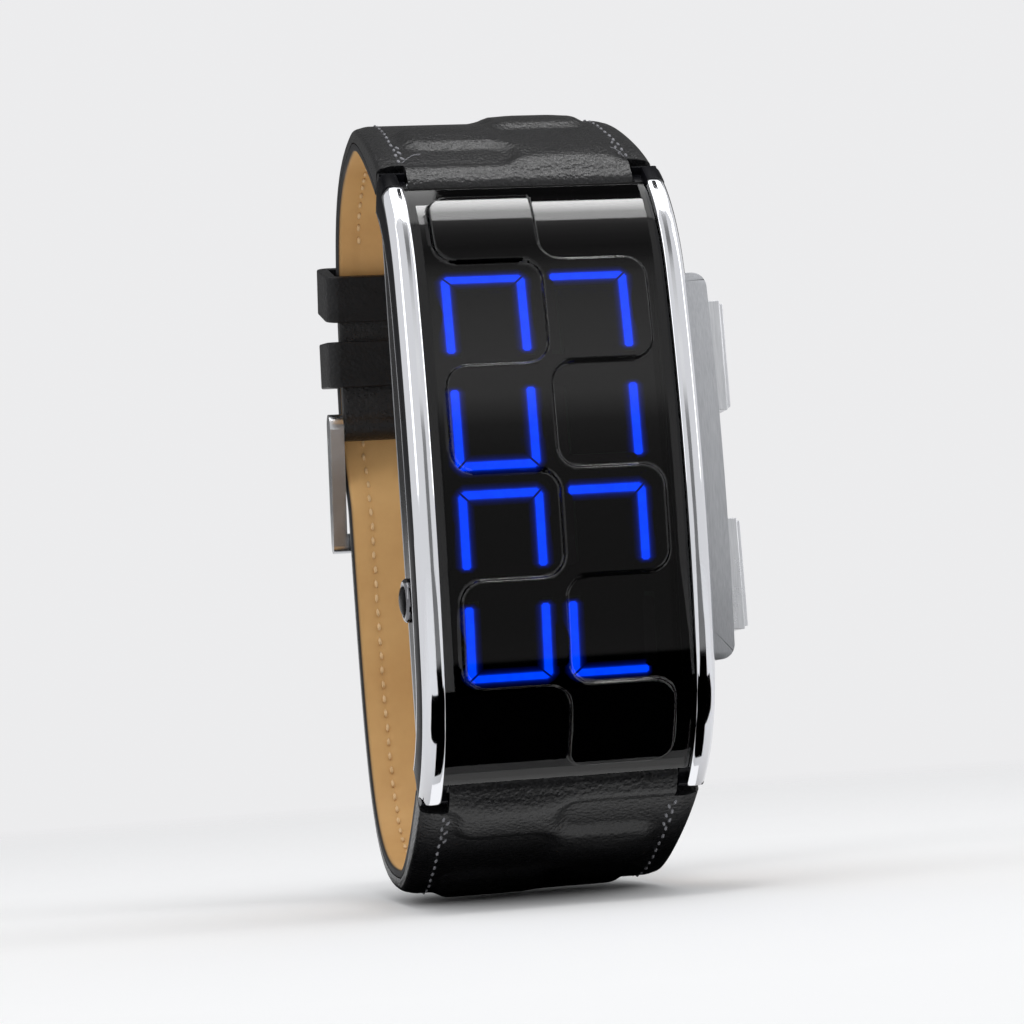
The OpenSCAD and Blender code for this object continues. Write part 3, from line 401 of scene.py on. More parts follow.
def on_front(s, depth):
    """Point (y, z) at a distance s along the display's curve and a depth below it."""
    if abs(s) <= MIDDLE_LEN / 2:
        turn = s / MIDDLE_R
        return FRONT_Y + MIDDLE_R - (MIDDLE_R - depth) * math.cos(turn), (MIDDLE_R - depth) * math.sin(turn)
    turn = middle_turn + (abs(s) - MIDDLE_LEN / 2) / END_R
    y = end_centre[0] - (END_R - depth) * math.cos(turn)
    z = end_centre[1] + (END_R - depth) * math.sin(turn)
    return y, math.copysign(z, s)


def bend_to_front(bm):
    """Bends a flat blank to the display's curve: x across, y along it, z out of it."""
    for vert in bm.verts:
        x, s, height = vert.co
        y, z = on_front(s, -height)
        vert.co = (x * MM, y * MM, z * MM)


MASK_DEPTH, BAR_LIFT, DIGIT_W = 2.35, 0.03, 6.56
# how far a bar stops short: a level one's free end, an upright at the
# digit's middle, and an upright's outer end where no level bar meets it
LEVEL_SHORT, UPRIGHT_SHORT, OUTER_SHORT = 0.4, 1.8, 0.5
# the left (-1) and the right (1) digits' middle
digit_x = {-1: -4.74, 1: 4.18}
# for the upper (1) and the lower (-1) row: middle and half height
digit_rows = {1: (9.05, 8.3), -1: (-9.72, 7.98)}
# for each digit's upper (1) or lower (-1) half: is the level bar, the left
# upright and the right upright lit
lit = {
    (-1, 1, 1): (1, 1, 1), (-1, 1, -1): (1, 1, 1),
    (1, 1, 1): (1, 0, 1), (1, 1, -1): (0, 0, 1),
    (-1, -1, 1): (1, 1, 1), (-1, -1, -1): (1, 1, 1),
    (1, -1, 1): (1, 0, 1), (1, -1, -1): (1, 1, 0),
}


def bar_end(half, kept, mitred):
    """Points round one end of a bar, mitred at a corner or rounded."""
    if mitred:
        return [(half * 0.1 + kept, -half), (kept - half * 0.55, -half * 0.55), (half + kept, half)]
    return [(0, -half), (-half * 0.5, -half * 0.5), (-half * 0.5, half * 0.5), (0, half)]


def add_bar(bm, glow, corner, along, inward, length, near, far, rings):
    """One bar from a corner of its digit, as rings from its painted halo of glow to its bright core."""
    last, others = None, len(bm.faces)
    for half, kept, height, shine in rings:
        ring = []
        for u, v in bar_end(half, kept, near) + [(length - u, v) for u, v in reversed(bar_end(half, kept, far))]:
            spot = Vector(corner) + u * Vector(along) + v * Vector(inward)
            vert = bm.verts.new((spot.x, spot.y, BAR_LIFT + height - MASK_DEPTH))
            vert[glow] = shine
            ring.append(vert)
        edges = [bm.edges.new((ring[k], ring[(k + 1) % len(ring)])) for k in range(len(ring))]
        # the first ring is closed by the bar's back
        if last:
            bmesh.ops.bridge_loops(bm, edges=last + edges)
        else:
            bmesh.ops.contextual_create(bm, geom=edges)
        last = edges
    front = bmesh.ops.contextual_create(bm, geom=last)["faces"][0]
    made = list(bm.faces)[others:]
    bmesh.ops.recalc_face_normals(bm, faces=made)
    front.normal_update()
    if front.normal.z < 0:
        bmesh.ops.reverse_faces(bm, faces=made)


def make_bars(name, wanted):
    """All bars that are lit, or all that are dark; the glow attribute falls from core to rim."""
    bm = bmesh.new()
    glow = bm.verts.layers.float.new("glow")
    # each ring: half width, distance kept from the mitre, height, glow; the rings outside the core carry the painted
    # halo
    rings = ((1.0, 0.0, 0.0, 0.0), (0.72, 0.02, 0.008, 0.03), (0.52, 0.06, 0.014, 0.085), (0.4, 0.11, 0.02, 0.3),
             (0.3, 0.19, 0.03, 1.0))
    if not wanted:
        rings = rings[2:]
    for (side, row, half), on in lit.items():
        x, (middle, height) = digit_x[side], digit_rows[row]
        s = middle + half * height
        if on[0] == wanted:
            # from a corner with an upright, and round at the far end where none meets it
            start = -1 if on[1] == wanted else 1
            both = on[1] == on[2]
            add_bar(bm, glow, (x + start * DIGIT_W / 2, s), (-start, 0), (0, -half),
                    DIGIT_W - (0 if both else LEVEL_SHORT), True, both, rings)
        for part, edge in ((1, -1), (2, 1)):
            if on[part] == wanted:
                met = on[0] == wanted
                short = 0 if met else OUTER_SHORT
                add_bar(bm, glow, (x + edge * DIGIT_W / 2, s - half * short), (0, -half), (-edge, 0),
                        height - UPRIGHT_SHORT - short, met, False, rings)
    for face in bm.faces:
        face.smooth = True
    bend_to_front(bm)
    made = plain_object(name, bm)
    made.data.set_sharp_from_angle(angle=math.radians(52))
    return made


light_blue, tree, shader = new_material("light_blue", (0.0, 0.002, 0.01), 0.6)
shader.inputs["Specular IOR Level"].default_value = 0.0
glow = tree.nodes.new("ShaderNodeAttribute")
glow.attribute_name = "glow"
speckle = add_noise(tree, coordinates(tree, 1.2), detail=2)
shine = tree.nodes.new("ShaderNodeMath")
shine.operation = "MULTIPLY"
tree.links.new(glow.outputs["Fac"], shine.inputs[0])
DIMMEST, BRIGHTEST = 7.5, 9.5
tree.links.new(spread(tree, speckle, DIMMEST, BRIGHTEST), shine.inputs[1])
tree.links.new(shine.outputs[0], shader.inputs["Emission Strength"])
shader.inputs["Emission Color"].default_value = (0.0, 0.047, 1.0, 1)
dress(make_bars("lit_bars", 1), light_blue, "case", "light_blue", "light_bars")
dark_diffuser = coated("dark_diffuser", (0.004, 0.004, 0.007), (0.007, 0.007, 0.011), 0.6)
dress(make_bars("dark_bars", 0), dark_diffuser, "case", "light_blue")

# Lens: one smoked block, curved along its length, polished all over. A raised
# band steps from side to side down the display, one cell at a time.
LENS_W, LENS_T, RELIEF = 21.5, 1.6, 0.45
CELL, CELL_W, CELL_R, STEP_W, LOWEST_R = 9.1, 9.05, 1.9, 0.26, 1.3
LENS_TOP, LENS_LOW, BAND_TOP, BAND_LOW = 27.45, -27.85, 25.3, -26.2
# width and depth of the bevels, and the thinned ends of the under face
END_W, END_D, SIDE_W, SIDE_D = 0.12, 0.1, 0.1, 0.04
THIN_T, THIN_LEN = 0.35, 1.1


def smooth_step(value):
    """Rises softly from 0 to 1 as the value does."""
    value = max(0.0, min(1.0, value))
    return value * value * (3 - 2 * value)


FAR_OUTSIDE = -9.0


def stepped_band(x, s, pitch, width, radius, first, rows, upper_side, low=None, high=None):
    """Depth inside a band that steps from side to side, one row at a time; negative outside it.

    Rows of the given pitch start at first; the lowest row lies left where upper_side is -1 and right where it is 1.
    """
    near = int(math.floor((s - first) / pitch))
    found = []
    for row in range(max(0, near - 1), min(rows - 1, near + 1) + 1):
        side = upper_side if row % 2 == 0 else -upper_side
        bottom = first + row * pitch if row or low is None else low
        top = first + (row + 1) * pitch if row < rows - 1 or high is None else high
        # a rounded box whose inner edge is cut square along the centre line
        reach = 3 * width
        u = abs(x * side - (width - reach / 2)) - reach / 2 + radius
        v = abs(s - (bottom + top) / 2) - (top - bottom) / 2 + radius
        box = math.hypot(max(u, 0), max(v, 0)) + min(max(u, v), 0) - radius
        box = max(box, -x * side)
        if row == 0 and low is not None:
            corner = math.hypot(max(LOWEST_R - x * side, 0), max(LOWEST_R - s + bottom, 0))
            box = max(box, corner - LOWEST_R)
        found.append(box)
    if not found:
        return FAR_OUTSIDE
    best = min(found)
    for one, two in zip(found, found[1:]):
        joined = max(radius, min(one, two)) - math.hypot(max(radius - one, 0), max(radius - two, 0))
        best = min(best, joined)
    return -best


def spaced(low, high, places, reach, fine, coarse):
    """Positions from low to high, close together within reach of the given places."""
    found = [low]
    while found[-1] < high - fine * 0.5:
        near = any(abs(found[-1] + fine / 2 - place) < reach for place in places)
        found.append(min(high, found[-1] + (fine if near else coarse)))
    found[-1] = high
    return found


def sheet_solid(name, us, vs, place, merge=0.0):
    """A closed sheet over the positions us and vs; place gives each point of its upper and lower face."""
    bm = bmesh.new()
    bmesh.ops.create_grid(bm, x_segments=len(us) - 1, y_segments=len(vs) - 1, size=1)
    raised = bmesh.ops.extrude_face_region(bm, geom=list(bm.faces))
    upper = {item for item in raised["geom"] if isinstance(item, bmesh.types.BMVert)}
    for vert in bm.verts:
        u = us[round((vert.co.x + 1) / 2 * (len(us) - 1))]
        v = vs[round((vert.co.y + 1) / 2 * (len(vs) - 1))]
        vert.co = Vector(place(u, v, vert in upper)) * MM
    if merge:
        bmesh.ops.remove_doubles(bm, verts=bm.verts, dist=merge * MM)
        bmesh.ops.dissolve_degenerate(bm, edges=bm.edges, dist=merge * MM)
    bmesh.ops.recalc_face_normals(bm, faces=bm.faces)
    if bm.calc_volume(signed=True) < 0:
        bmesh.ops.reverse_faces(bm, faces=bm.faces)
    for face in bm.faces:
        face.smooth = True
    made = plain_object(name, bm)
    made.data.set_sharp_from_angle(angle=math.radians(52))
    return made


def lens_point(x, s, upper):
    """A point of the lens's front face, where the band stands out, or of its under face."""
    if upper:
        inside = stepped_band(x, s, CELL, CELL_W, CELL_R, -3 * CELL, 6, 1, BAND_LOW, BAND_TOP)
        depth = RELIEF * (1 - smooth_step(inside / STEP_W + 0.5))
        end = min(LENS_TOP - s, s - LENS_LOW)
        depth += END_D * (1 - min(1, end / END_W)) ** 2
        edge = LENS_W / 2 - abs(x)
        depth += SIDE_D * (1 - min(1, edge / SIDE_W)) ** 2
    else:
        end = min(LENS_TOP - s, s - LENS_LOW)
        depth = RELIEF + THIN_T + (LENS_T - THIN_T) * smooth_step(end / THIN_LEN)
    y, z = on_front(s, depth)
    return x, y, z


lens = sheet_solid("display_lens_shape",
                   spaced(-LENS_W / 2, LENS_W / 2, places=(-8.2, 0, 8.2), reach=1.15, fine=0.085, coarse=0.5),
                   spaced(LENS_LOW, LENS_TOP, places=(-25.8, -2 * CELL, -CELL, 0, CELL, 2 * CELL, 25.0), reach=2.0,
                          fine=0.1, coarse=0.6),
                   lens_point)
smoked, tree, shader = new_material("smoked_glass", (0.0, 0.0, 0.0), 0.03)
shader.inputs["Alpha"].default_value = 0.62
shader.inputs["IOR"].default_value = 1.58
haze = add_noise(tree, coordinates(tree, 0.5), detail=3)
tree.links.new(spread(tree, haze, 0.015, 0.04), shader.inputs["Roughness"])
dress(lens, smoked, "case", "smoked_glass", "display_lens")

# Lens border: a matt black sheet inside the lens, round the digits, that keeps the lens's ends and sides dark
# and hides what lies under them.

# the sheet's and its opening's half width, lower end and upper end
BORDER_OUT, BORDER_OPEN = (10.68, -27.78, 27.38), (9.75, -18.7, 18.4)
BORDER_DEPTH, BORDER_T = 0.58, 0.06


def even(low, high, step):
    """Evenly spaced positions from low to high, about a step apart."""
    count = max(1, round((high - low) / step))
    return [low + (high - low) * k / count for k in range(count + 1)]


def dark_border_sheet(name, outer, opening):
    """A thin sheet bent to the display's curve, with an opening for the digits."""
    bm = bmesh.new()
    us = [-outer[0], -opening[0], opening[0], outer[0]]
    vs = even(outer[1], opening[1], 0.6) + even(opening[1], opening[2], 0.8)[1:] + even(opening[2], outer[2], 0.6)[1:]
    bmesh.ops.create_grid(bm, x_segments=3, y_segments=len(vs) - 1, size=1)
    for vert in bm.verts:
        u, v = us[round((vert.co.x + 1) / 2 * 3)], vs[round((vert.co.y + 1) / 2 * (len(vs) - 1))]
        vert.co = (u, v, -BORDER_DEPTH)
    middle = [f for f in bm.faces if abs(f.calc_center_median().x) < 1
              and opening[1] < f.calc_center_median().y < opening[2]]
    bmesh.ops.delete(bm, geom=middle, context="FACES")
    raised = bmesh.ops.extrude_face_region(bm, geom=list(bm.faces))
    lower = [v for v in raised["geom"] if isinstance(v, bmesh.types.BMVert)]
    bmesh.ops.translate(bm, verts=lower, vec=(0, 0, -BORDER_T))
    bmesh.ops.recalc_face_normals(bm, faces=bm.faces)
    bend_to_front(bm)
    return plain_object(name, bm)


border_black = coated("border_black", (0.001, 0.001, 0.0015), (0.002, 0.002, 0.0025), 0.8, level=0.0)
dress(dark_border_sheet("lens_border", BORDER_OUT, BORDER_OPEN), border_black, "case", "black_steel")

# Rails: two strips of polished steel swept along the display's edges, with a
# crowned front facet, a bevel and a thin line low down the side of the case.
RAIL_TOP, RAIL_LOW, LINE_TOP = 26.45, -29.4, 29.2
polished_steel, tree, shader = new_material("polished_steel", (0.74, 0.75, 0.78), 0.06, metallic=1.0)
smear = add_noise(tree, coordinates(tree, 0.6), detail=3)
tree.links.new(spread(tree, smear, 0.04, 0.09), shader.inputs["Roughness"])
ripple = add_noise(tree, coordinates(tree, 0.35, (1, 0.3, 0.3)), detail=2)
add_bump(tree, shader, ripple, 0.25, 0.1)
# sections across the rail: x from the middle and height over the lens's face
RAIL_SECTION = [(10.8, -0.78), (10.8, 0.2), (10.87, 0.27), (11.1, 0.31), (11.6, 0.33), (12.0, 0.28), (12.12, 0.2),
                (12.36, -0.1), (12.56, -0.5), (12.6, -0.62), (12.6, -0.78)]
LINE_SECTION = [(12.45, -3.42), (12.63, -3.42), (12.66, -3.52), (12.63, -3.62), (12.45, -3.62)]


def swept(bm, section, side, low, high, cuts, bevel):
    """Adds a straight bar of the section from low to high, cut across so that it can bend."""
    start = bm.faces.new([bm.verts.new((x * side, low, z)) for x, z in section])
    made = bmesh.ops.extrude_face_region(bm, geom=[start])
    tip = [v for v in made["geom"] if isinstance(v, bmesh.types.BMVert)]
    bmesh.ops.translate(bm, verts=tip, vec=(0, high - low, 0))
    bmesh.ops.recalc_face_normals(bm, faces=bm.faces)
    caps = [edge for edge in bm.edges if abs(edge.verts[0].co.y - edge.verts[1].co.y) < 0.01]
    bmesh.ops.bevel(bm, geom=caps, offset=bevel, segments=3, profile=0.5, affect="EDGES", material=-1)
    for k in range(1, cuts):
        bmesh.ops.bisect_plane(bm, geom=list(bm.verts) + list(bm.edges) + list(bm.faces),
                               plane_co=(0, low + (high - low) * k / cuts, 0), plane_no=(0, 1, 0))


def bent_bars(name, side, bars):
    """Bars swept along the display's curve as one piece.

    Each bar is given by its section, its low and high end, the cuts across it and the bevel of its ends.
    """
    whole = bmesh.new()
    for section, low, high, cuts, bevel in bars:
        bm = bmesh.new()
        swept(bm, section, side, low, high, cuts, bevel)
        bend_to_front(bm)
        for face in bm.faces:
            face.smooth = True
        mesh = bpy.data.meshes.new(name)
        bm.to_mesh(mesh)
        whole.from_mesh(mesh)
        bm.free()
        bpy.data.meshes.remove(mesh)
    made = plain_object(name, whole)
    made.data.set_sharp_from_angle(angle=math.radians(38))
    return made


for word, side in (("left", -1), ("right", 1)):
    rail = bent_bars("rail_" + word + "_shape", side, ((RAIL_SECTION, RAIL_LOW, RAIL_TOP, 150, 0.08),
                                                       (LINE_SECTION, RAIL_LOW, LINE_TOP, 110, 0.04)))
    dress(rail, polished_steel, "case", "polished_steel", "rail_" + word)

# Rail skirts and hoods: the sides below the rails and the rounded ends above
# them are coated black like the case.
SKIRT_TOP, HOOD_TOP, HOOD_GAP = 29.4, 29.3, 0.12
SKIRT_SECTION = [(12.175, -0.7), (12.56, -0.7), (12.62, -0.8), (12.62, -3.5), (12.175, -3.5)]
HOOD_SECTION = [(10.95, -0.8), (10.95, -0.05), (11.15, 0.12), (11.7, 0.18), (12.2, 0.05), (12.5, -0.25),
                (12.6, -0.75)]
gloss_coat = coated("gloss_coat", (0.003, 0.003, 0.004), (0.006, 0.006, 0.008), 0.3, tooth=0.03, level=0.04)
for word, side in (("left", -1), ("right", 1)):
    dress(bent_bars("skirt_" + word, side, ((SKIRT_SECTION, RAIL_LOW, SKIRT_TOP, 110, 0.05),
                                            (HOOD_SECTION, RAIL_TOP + HOOD_GAP, HOOD_TOP, 12, 0.3))),
          gloss_coat, "case", "black_steel")

# Side plate: brushed steel with rounded ends, screwed to the case from
# inside, with a slot for each pusher.
dress(rounded_copy("side_plate", 0.3, 3), plate_steel, "case", "brushed_steel", "side_plate")
finish_node("side_plate_screws", screw_steel)

# Pushers: brushed heads on turned stems, each with its coil spring, rubber
# seal and retaining clip.
pusher_steel = brushed("pusher_steel", (0.55, 0.56, 0.58), (0.70, 0.71, 0.73), 0.3)
spring_steel = coated("spring_steel", (0.4, 0.41, 0.43), (0.6, 0.61, 0.63), 0.2, metallic=1.0)
for which in ("upper", "lower"):
    pusher = "pusher_" + which
    dress(rounded_copy(pusher, 0.15, 3), pusher_steel, "button_" + which, "brushed_steel", pusher)
    # a smooth-shaded copy of the coil, which stays with the case
    bm = bmesh.new()
    bm.from_mesh(nodes["pusher_spring_" + which].data)
    for face in bm.faces:
        face.smooth = True
    coil = dress(plain_object("pusher_spring_" + which + "_shape", bm), spring_steel, "case", "spring_steel",
                 "pusher_spring_" + which)
    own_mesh(coil)
    finish_node("pusher_clip_" + which, spring_steel)
    finish_node("pusher_seal_" + which, black_rubber)

# Stud: a polished collar pressed round a glossy black domed cap, low on the
# left side of the case.
dark_steel = coated("dark_steel", (0.16, 0.16, 0.17), (0.26, 0.26, 0.28), 0.14, metallic=1.0)
dress(rounded_copy("stud_collar", 0.06), dark_steel, "case", "polished_steel", "stud_collar")
gloss_black = coated("gloss_black", (0.003, 0.003, 0.004), (0.006, 0.006, 0.008), 0.3, tooth=0.4, level=0.06)
finish_node("stud_cap", gloss_black)

# Spring bars: thin steel tubes with sprung tips, one at each end of the case.
# The buckle's bar is turned from the same steel.
for node in ("spring_bar_upper", "spring_bar_lower", "buckle_bar"):
    finish_node(node, spring_steel)

# Strap leather: padded black calf, folded round a spring bar at the case and
# edge-painted. Padded blocks step from side to side as on the display.

# the upper spring bar (y, z), and the strap's way past it and out from it
BAR, CASE_HALF = Vector((-17.4946, 25.8134)), 27.1
END_TURN = middle_turn + (CASE_HALF - MIDDLE_LEN / 2) / END_R
ALONG = Vector((math.sin(END_TURN), math.cos(END_TURN)))
OUT = Vector((-math.cos(END_TURN), math.sin(END_TURN)))
# the turn round the bar, then the loop's half height and depth at the back
WRAP_R, WRAP_GAP, LOOP_HALF, LOOP_BACK = 1.5, 0.05, 33.4, 20.2
# thickness of the lining, of the strap and of the strap at the case, and how
# far from the case it goes on thinning
LINING_T, STRAP_T, LUG_T, THINNED = 0.8, 2.3, 3.05, 16
# distances along the strap from its spring bar, and the tail's rounded tip
FOLD_S, BUCKLE_S, TAIL_S, TIP_LEN, TIP_R = 40.14, 54.74, 89.16, 7, 14.6
# where the strap widens past the lugs, and half its width before that
SHOULDER_S, TAB_HALF = 1.75, 10.0
# the blocks' start, pitch, rows, half width, corner and height
PAD_START, PAD_LEN, PAD_ROWS, PAD_W, PAD_R, PAD_H = -1.4, 7.0, 5, 9.05, 2.0, 0.7
# the outer face's drop towards its cut edge, and the edge's round
DROP, DROP_W, CUT_R = 0.28, 1.5, 0.45
# the turn round the buckle's bar: its radius and middle height
TURN_R, TURN_HEIGHT = 1.45, 1.15


def bezier(a, b, c, d, steps):
    """Points along a curve from a to d that is drawn towards b and c."""
    points = []
    for k in range(steps + 1):
        t = k / steps
        points.append(a * (1 - t) ** 3 + b * 3 * t * (1 - t) ** 2 + c * 3 * t * t * (1 - t) + d * t ** 3)
    return points


path_start = BAR - (WRAP_R + WRAP_GAP) * OUT
path_top, path_back = Vector((0, LOOP_HALF)), Vector((LOOP_BACK, 0))
half_path = bezier(path_start, path_start + 3 * ALONG, path_top - Vector((4.5, 0)), path_top, 60)[:-1]
half_path += bezier(path_top, path_top + Vector((0.85 * LOOP_BACK, 0)), path_back + Vector((0, 0.82 * LOOP_HALF)),
                    path_back, 80)


def measured(points):
    """A path with the distance along it, and the way out of the loop, at each point."""
    lengths, ways = [0.0], []
    for one, two in zip(points, points[1:]):
        lengths.append(lengths[-1] + (two - one).length)
    for k in range(len(points)):
        way = (points[min(k + 1, len(points) - 1)] - points[max(k - 1, 0)]).normalized()
        ways.append(Vector((-way.y, way.x)))
    return points, lengths, ways


short_path = measured(half_path)
lower_path = [Vector((p.x, -p.y)) for p in half_path]
points, lengths, ways = measured(lower_path + half_path[-2::-1])
long_path = points, lengths, [-way for way in ways]


def on_path(path, s, offset):
    """Point (y, z) at a distance s along a strap path, moved out of the loop by offset."""
    points, lengths, ways = path
    if s <= 0:
        way = (points[1] - points[0]).normalized()
        return points[0] + s * way + offset * ways[0]
    low, high = 0, len(lengths) - 1
    if s >= lengths[-1]:
        way = (points[-1] - points[-2]).normalized()
        return points[-1] + (s - lengths[-1]) * way + offset * ways[-1]
    while high - low > 1:
        middle = (low + high) // 2
        low, high = (middle, high) if lengths[middle] <= s else (low, middle)
    part = (s - lengths[low]) / (lengths[high] - lengths[low])
    out = (ways[low] * (1 - part) + ways[high] * part).normalized()
    return points[low] * (1 - part) + points[high] * part + offset * out


OVERLAP_OUT, OVERLAP_FROM, OVERLAP_RUN = 2.9, 1.2, 7.2


def strap_at(half, s, offset):
    """Point (y, z) on the short or the long half; the long half lies outside the short one at the back."""
    if half == "short":
        return on_path(short_path, s, offset)
    flat = on_path(long_path, s, 0)
    if flat.x > 0:
        offset += OVERLAP_OUT * smooth_step((flat.y - OVERLAP_FROM) / OVERLAP_RUN)
    return on_path(long_path, s, offset)


HALF_W, TAPER, TAPER_FROM, TAPER_RUN = 12.4, 0.6, -17.49, 37.69


def tapered(y):
    """Half the strap's width at a place from front to back; it narrows towards the buckle."""
    return HALF_W - TAPER * max(0, min(1, (y - TAPER_FROM) / TAPER_RUN))


def strap_width(half, s):
    """Half the strap's width, which tapers to the buckle and ends in a tip."""
    width = tapered(strap_at(half, s, 0).x)
    if half == "long" and s > TAIL_S - TIP_LEN:
        left = max(TAIL_S - s, 0.02)
        width = min(width, math.sqrt(max(0.1, TIP_R ** 2 - (TIP_R - left) ** 2)))
    return width


def strap_thick(s):
    """Thickness of leather and lining together, which falls away from the case."""
    return LUG_T + (STRAP_T - LUG_T) * smooth_step(s / THINNED)


ROLL_TO, ROLL_SOFT = 1.2, 1.6


def pad_height(half, x, s):
    """Height of the padded blocks, which step from side to side along the strap."""
    side = 1 if half == "short" else -1
    inside = stepped_band(x, s, PAD_LEN, PAD_W, PAD_R, PAD_START, PAD_ROWS, side)
    # joined softly to the roll over the bar, which is as wide as the strap
    roll = ROLL_TO - s
    inside = math.hypot(max(ROLL_SOFT + roll, 0), max(ROLL_SOFT + inside, 0)) - max(ROLL_SOFT, min(-roll, -inside))
    pillow = smooth_step(inside / 1.4 + 0.45)
    # thin over the bar, so that the strap can swing up past the lens
    pillow *= math.sin(math.pi / 2 * max(0, min(1, s / 2)))
    return PAD_H * pillow * (0.78 + 0.22 * smooth_step(inside / 3.5))


TURN_FROM = BUCKLE_S - 0.9


def leather_point(half):
    """Gives the point of a strap half for a share u across it and a distance s along it."""
    def place(u, s, upper):
        width = strap_width(half, s)
        x = u * width
        if s < SHOULDER_S:
            x = max(-TAB_HALF, min(TAB_HALF, x))
        edge = min(width - abs(x), 9)
        if s < 0:
            # the leather turns round the spring bar
            rise = math.sqrt(max(0, WRAP_R ** 2 - s * s))
            offset = WRAP_R + WRAP_GAP + (rise if upper else -rise)
        elif upper:
            offset = strap_thick(s) + pad_height(half, x, s)
            offset -= DROP * (1 - smooth_step(edge / DROP_W))
            if edge < CUT_R:
                offset -= CUT_R - math.sqrt(max(0, CUT_R ** 2 - (CUT_R - edge) ** 2))
        else:
            offset = LINING_T * smooth_step(s / 2.2)
            if half == "short" and s > FOLD_S:
                offset = LINING_T * (1 - smooth_step((s - FOLD_S) / 0.3))
            offset += 0.06 * (1 - min(1, edge / 0.3))
        if half == "short" and s > TURN_FROM:
            # the fold turns round the buckle bar
            past = s - BUCKLE_S
            rise = math.sqrt(max(0, TURN_R ** 2 - past * past))
            if past < 0:
                rise = max(rise, TURN_HEIGHT)
            offset = TURN_HEIGHT + (rise if upper else -rise)
        y, z = strap_at(half, s, offset)
        return x, y, z
    return place


across_strap = [-1, -0.997, -0.99, -0.98, -0.965, -0.94]
across_strap += [-0.91 + 1.82 * k / 62 for k in range(63)]
across_strap += [0.94, 0.965, 0.98, 0.99, 0.997, 1]
round_bar = [-WRAP_R * math.cos(math.radians(a)) for a in (0, 12, 26, 42, 58, 74)]
FINE_ROW, COARSE_ROW = 0.3, 0.6


def leather_rows(last):
    """Distances along the strap, close together over the padded blocks."""
    rows = round_bar + [0, 0.4, 0.8, 1.2, 1.5, 1.73, 1.77]
    while rows[-1] + FINE_ROW < last:
        rows.append(rows[-1] + (FINE_ROW if rows[-1] < PAD_START + PAD_ROWS * PAD_LEN + 1 else COARSE_ROW))
    return rows


def tip_rows(reach, count):
    """Distances along the tail's tip, closer together towards its end."""
    return [TAIL_S - TIP_LEN + reach * math.sin(math.radians(90 * k / count)) for k in range(count + 1)]


short_rows = [s for s in leather_rows(TURN_FROM) if s < BUCKLE_S - 1.1]
short_rows += [BUCKLE_S - TURN_R * math.cos(math.radians(a)) for a in range(50, 181, 13)]
leather_short = sheet_solid("strap_short_leather_shape", across_strap, short_rows, leather_point("short"), 0.004)
long_rows = [s for s in leather_rows(TAIL_S) if s < TAIL_S - TIP_LEN] + tip_rows(TIP_LEN, 24)
leather_long = sheet_solid("strap_long_leather_shape", across_strap, long_rows, leather_point("long"), 0.004)


def cut_holes(piece, cutter):
    """Cuts a piece with another object's shape, which is then thrown away."""
    cut = piece.modifiers.new("cut", "BOOLEAN")
    cut.object = cutter
    cut.operation = "DIFFERENCE"
    cut.solver = "EXACT"
    ready = piece.evaluated_get(bpy.context.evaluated_depsgraph_get())
    mesh = bpy.data.meshes.new_from_object(ready)
    piece.modifiers.remove(cut)
    piece.data = mesh
    mesh.set_sharp_from_angle(angle=math.radians(52))


HOLE_PITCH, HOLE_R, HOLE_LEN, FIRST_HOLE = 6, 0.95, 9, 5.6
# the tongue's hole: its radius, length and how much longer than wide it is,
# then the tongue's pivot (y, z), the way it lies and the hole's shift from it
SLOT_R, SLOT_LEN, SLOT_STRETCH = 1.05, 14, 1.55
TONGUE_AT, TONGUE_WAY, SLOT_SHIFT = Vector((21.81, 10.26)), Vector((3.67, -11.55)), 0.45


def strap_holes():
    """The adjusting holes of the long half, the tongue's among them, as one cutter."""
    bm = bmesh.new()
    # the distance along the long half to the middle of the loop's back
    back_s = long_path[1][len(half_path) - 1]
    for k in range(-3, 3):
        s, size, long, slot = back_s + FIRST_HOLE + HOLE_PITCH * k, HOLE_R, HOLE_LEN, 1
        middle, out = strap_at("long", s, 1.5), strap_at("long", s, 2.5) - strap_at("long", s, 1.5)
        if k == 0:
            # slanting, as the tongue lies, and long enough for it to lift
            size, long, slot = SLOT_R, SLOT_LEN, SLOT_STRETCH
            out = TONGUE_WAY.normalized()
            middle = TONGUE_AT + long / 2 * out + SLOT_SHIFT * Vector((-out.y, out.x))
        turn = Vector((0, out.x, out.y)).to_track_quat("Z", "X").to_matrix().to_4x4()
        matrix = Matrix.Translation(Vector((0, middle.x, middle.y)) * MM) @ turn @ Matrix.Diagonal((slot, 1, 1, 1))
        bmesh.ops.create_cone(bm, cap_ends=True, segments=28, radius1=size * MM, radius2=size * MM, depth=long * MM,
                              matrix=matrix)
    return plain_object("hole_cutter", bm)


cutter = strap_holes()
cut_holes(leather_long, cutter)

GRAIN = 3.0


def grained_leather(name, dark, light, rough, level):
    """Leather with a fine pebbled grain, soft creases and a slight wear of its shine. Its base colour follows the
    creases: darker in their hollows, partly its own uneven tone and partly painted shade.
    """
    material, tree, shader = new_material(name, light, rough)
    pebble = tree.nodes.new("ShaderNodeTexVoronoi")
    pebble.feature = "SMOOTH_F1"
    pebble.inputs["Scale"].default_value = 1
    tree.links.new(coordinates(tree, GRAIN), pebble.inputs["Vector"])
    fine = add_noise(tree, coordinates(tree, GRAIN * 2.2), detail=3)
    crease_and_shade = add_noise(tree, coordinates(tree, 0.35, (0.6, 1, 1)), detail=5, roughness=0.7)
    # base colour darker in the creases' hollows: uneven tone with painted shade
    shade_between(tree, shader, spread(tree, crease_and_shade, 0, 1), dark, light)
    tree.links.new(spread(tree, fine, rough * 0.72, rough * 1.25), shader.inputs["Roughness"])
    shader.inputs["Specular IOR Level"].default_value = level
    soft = add_bump(tree, shader, crease_and_shade, 0.35, 0.25)
    cells = add_bump(tree, shader, pebble.outputs["Distance"], 0.75, 0.09, soft)
    add_bump(tree, shader, fine, 0.7, 0.05, cells)
    return material


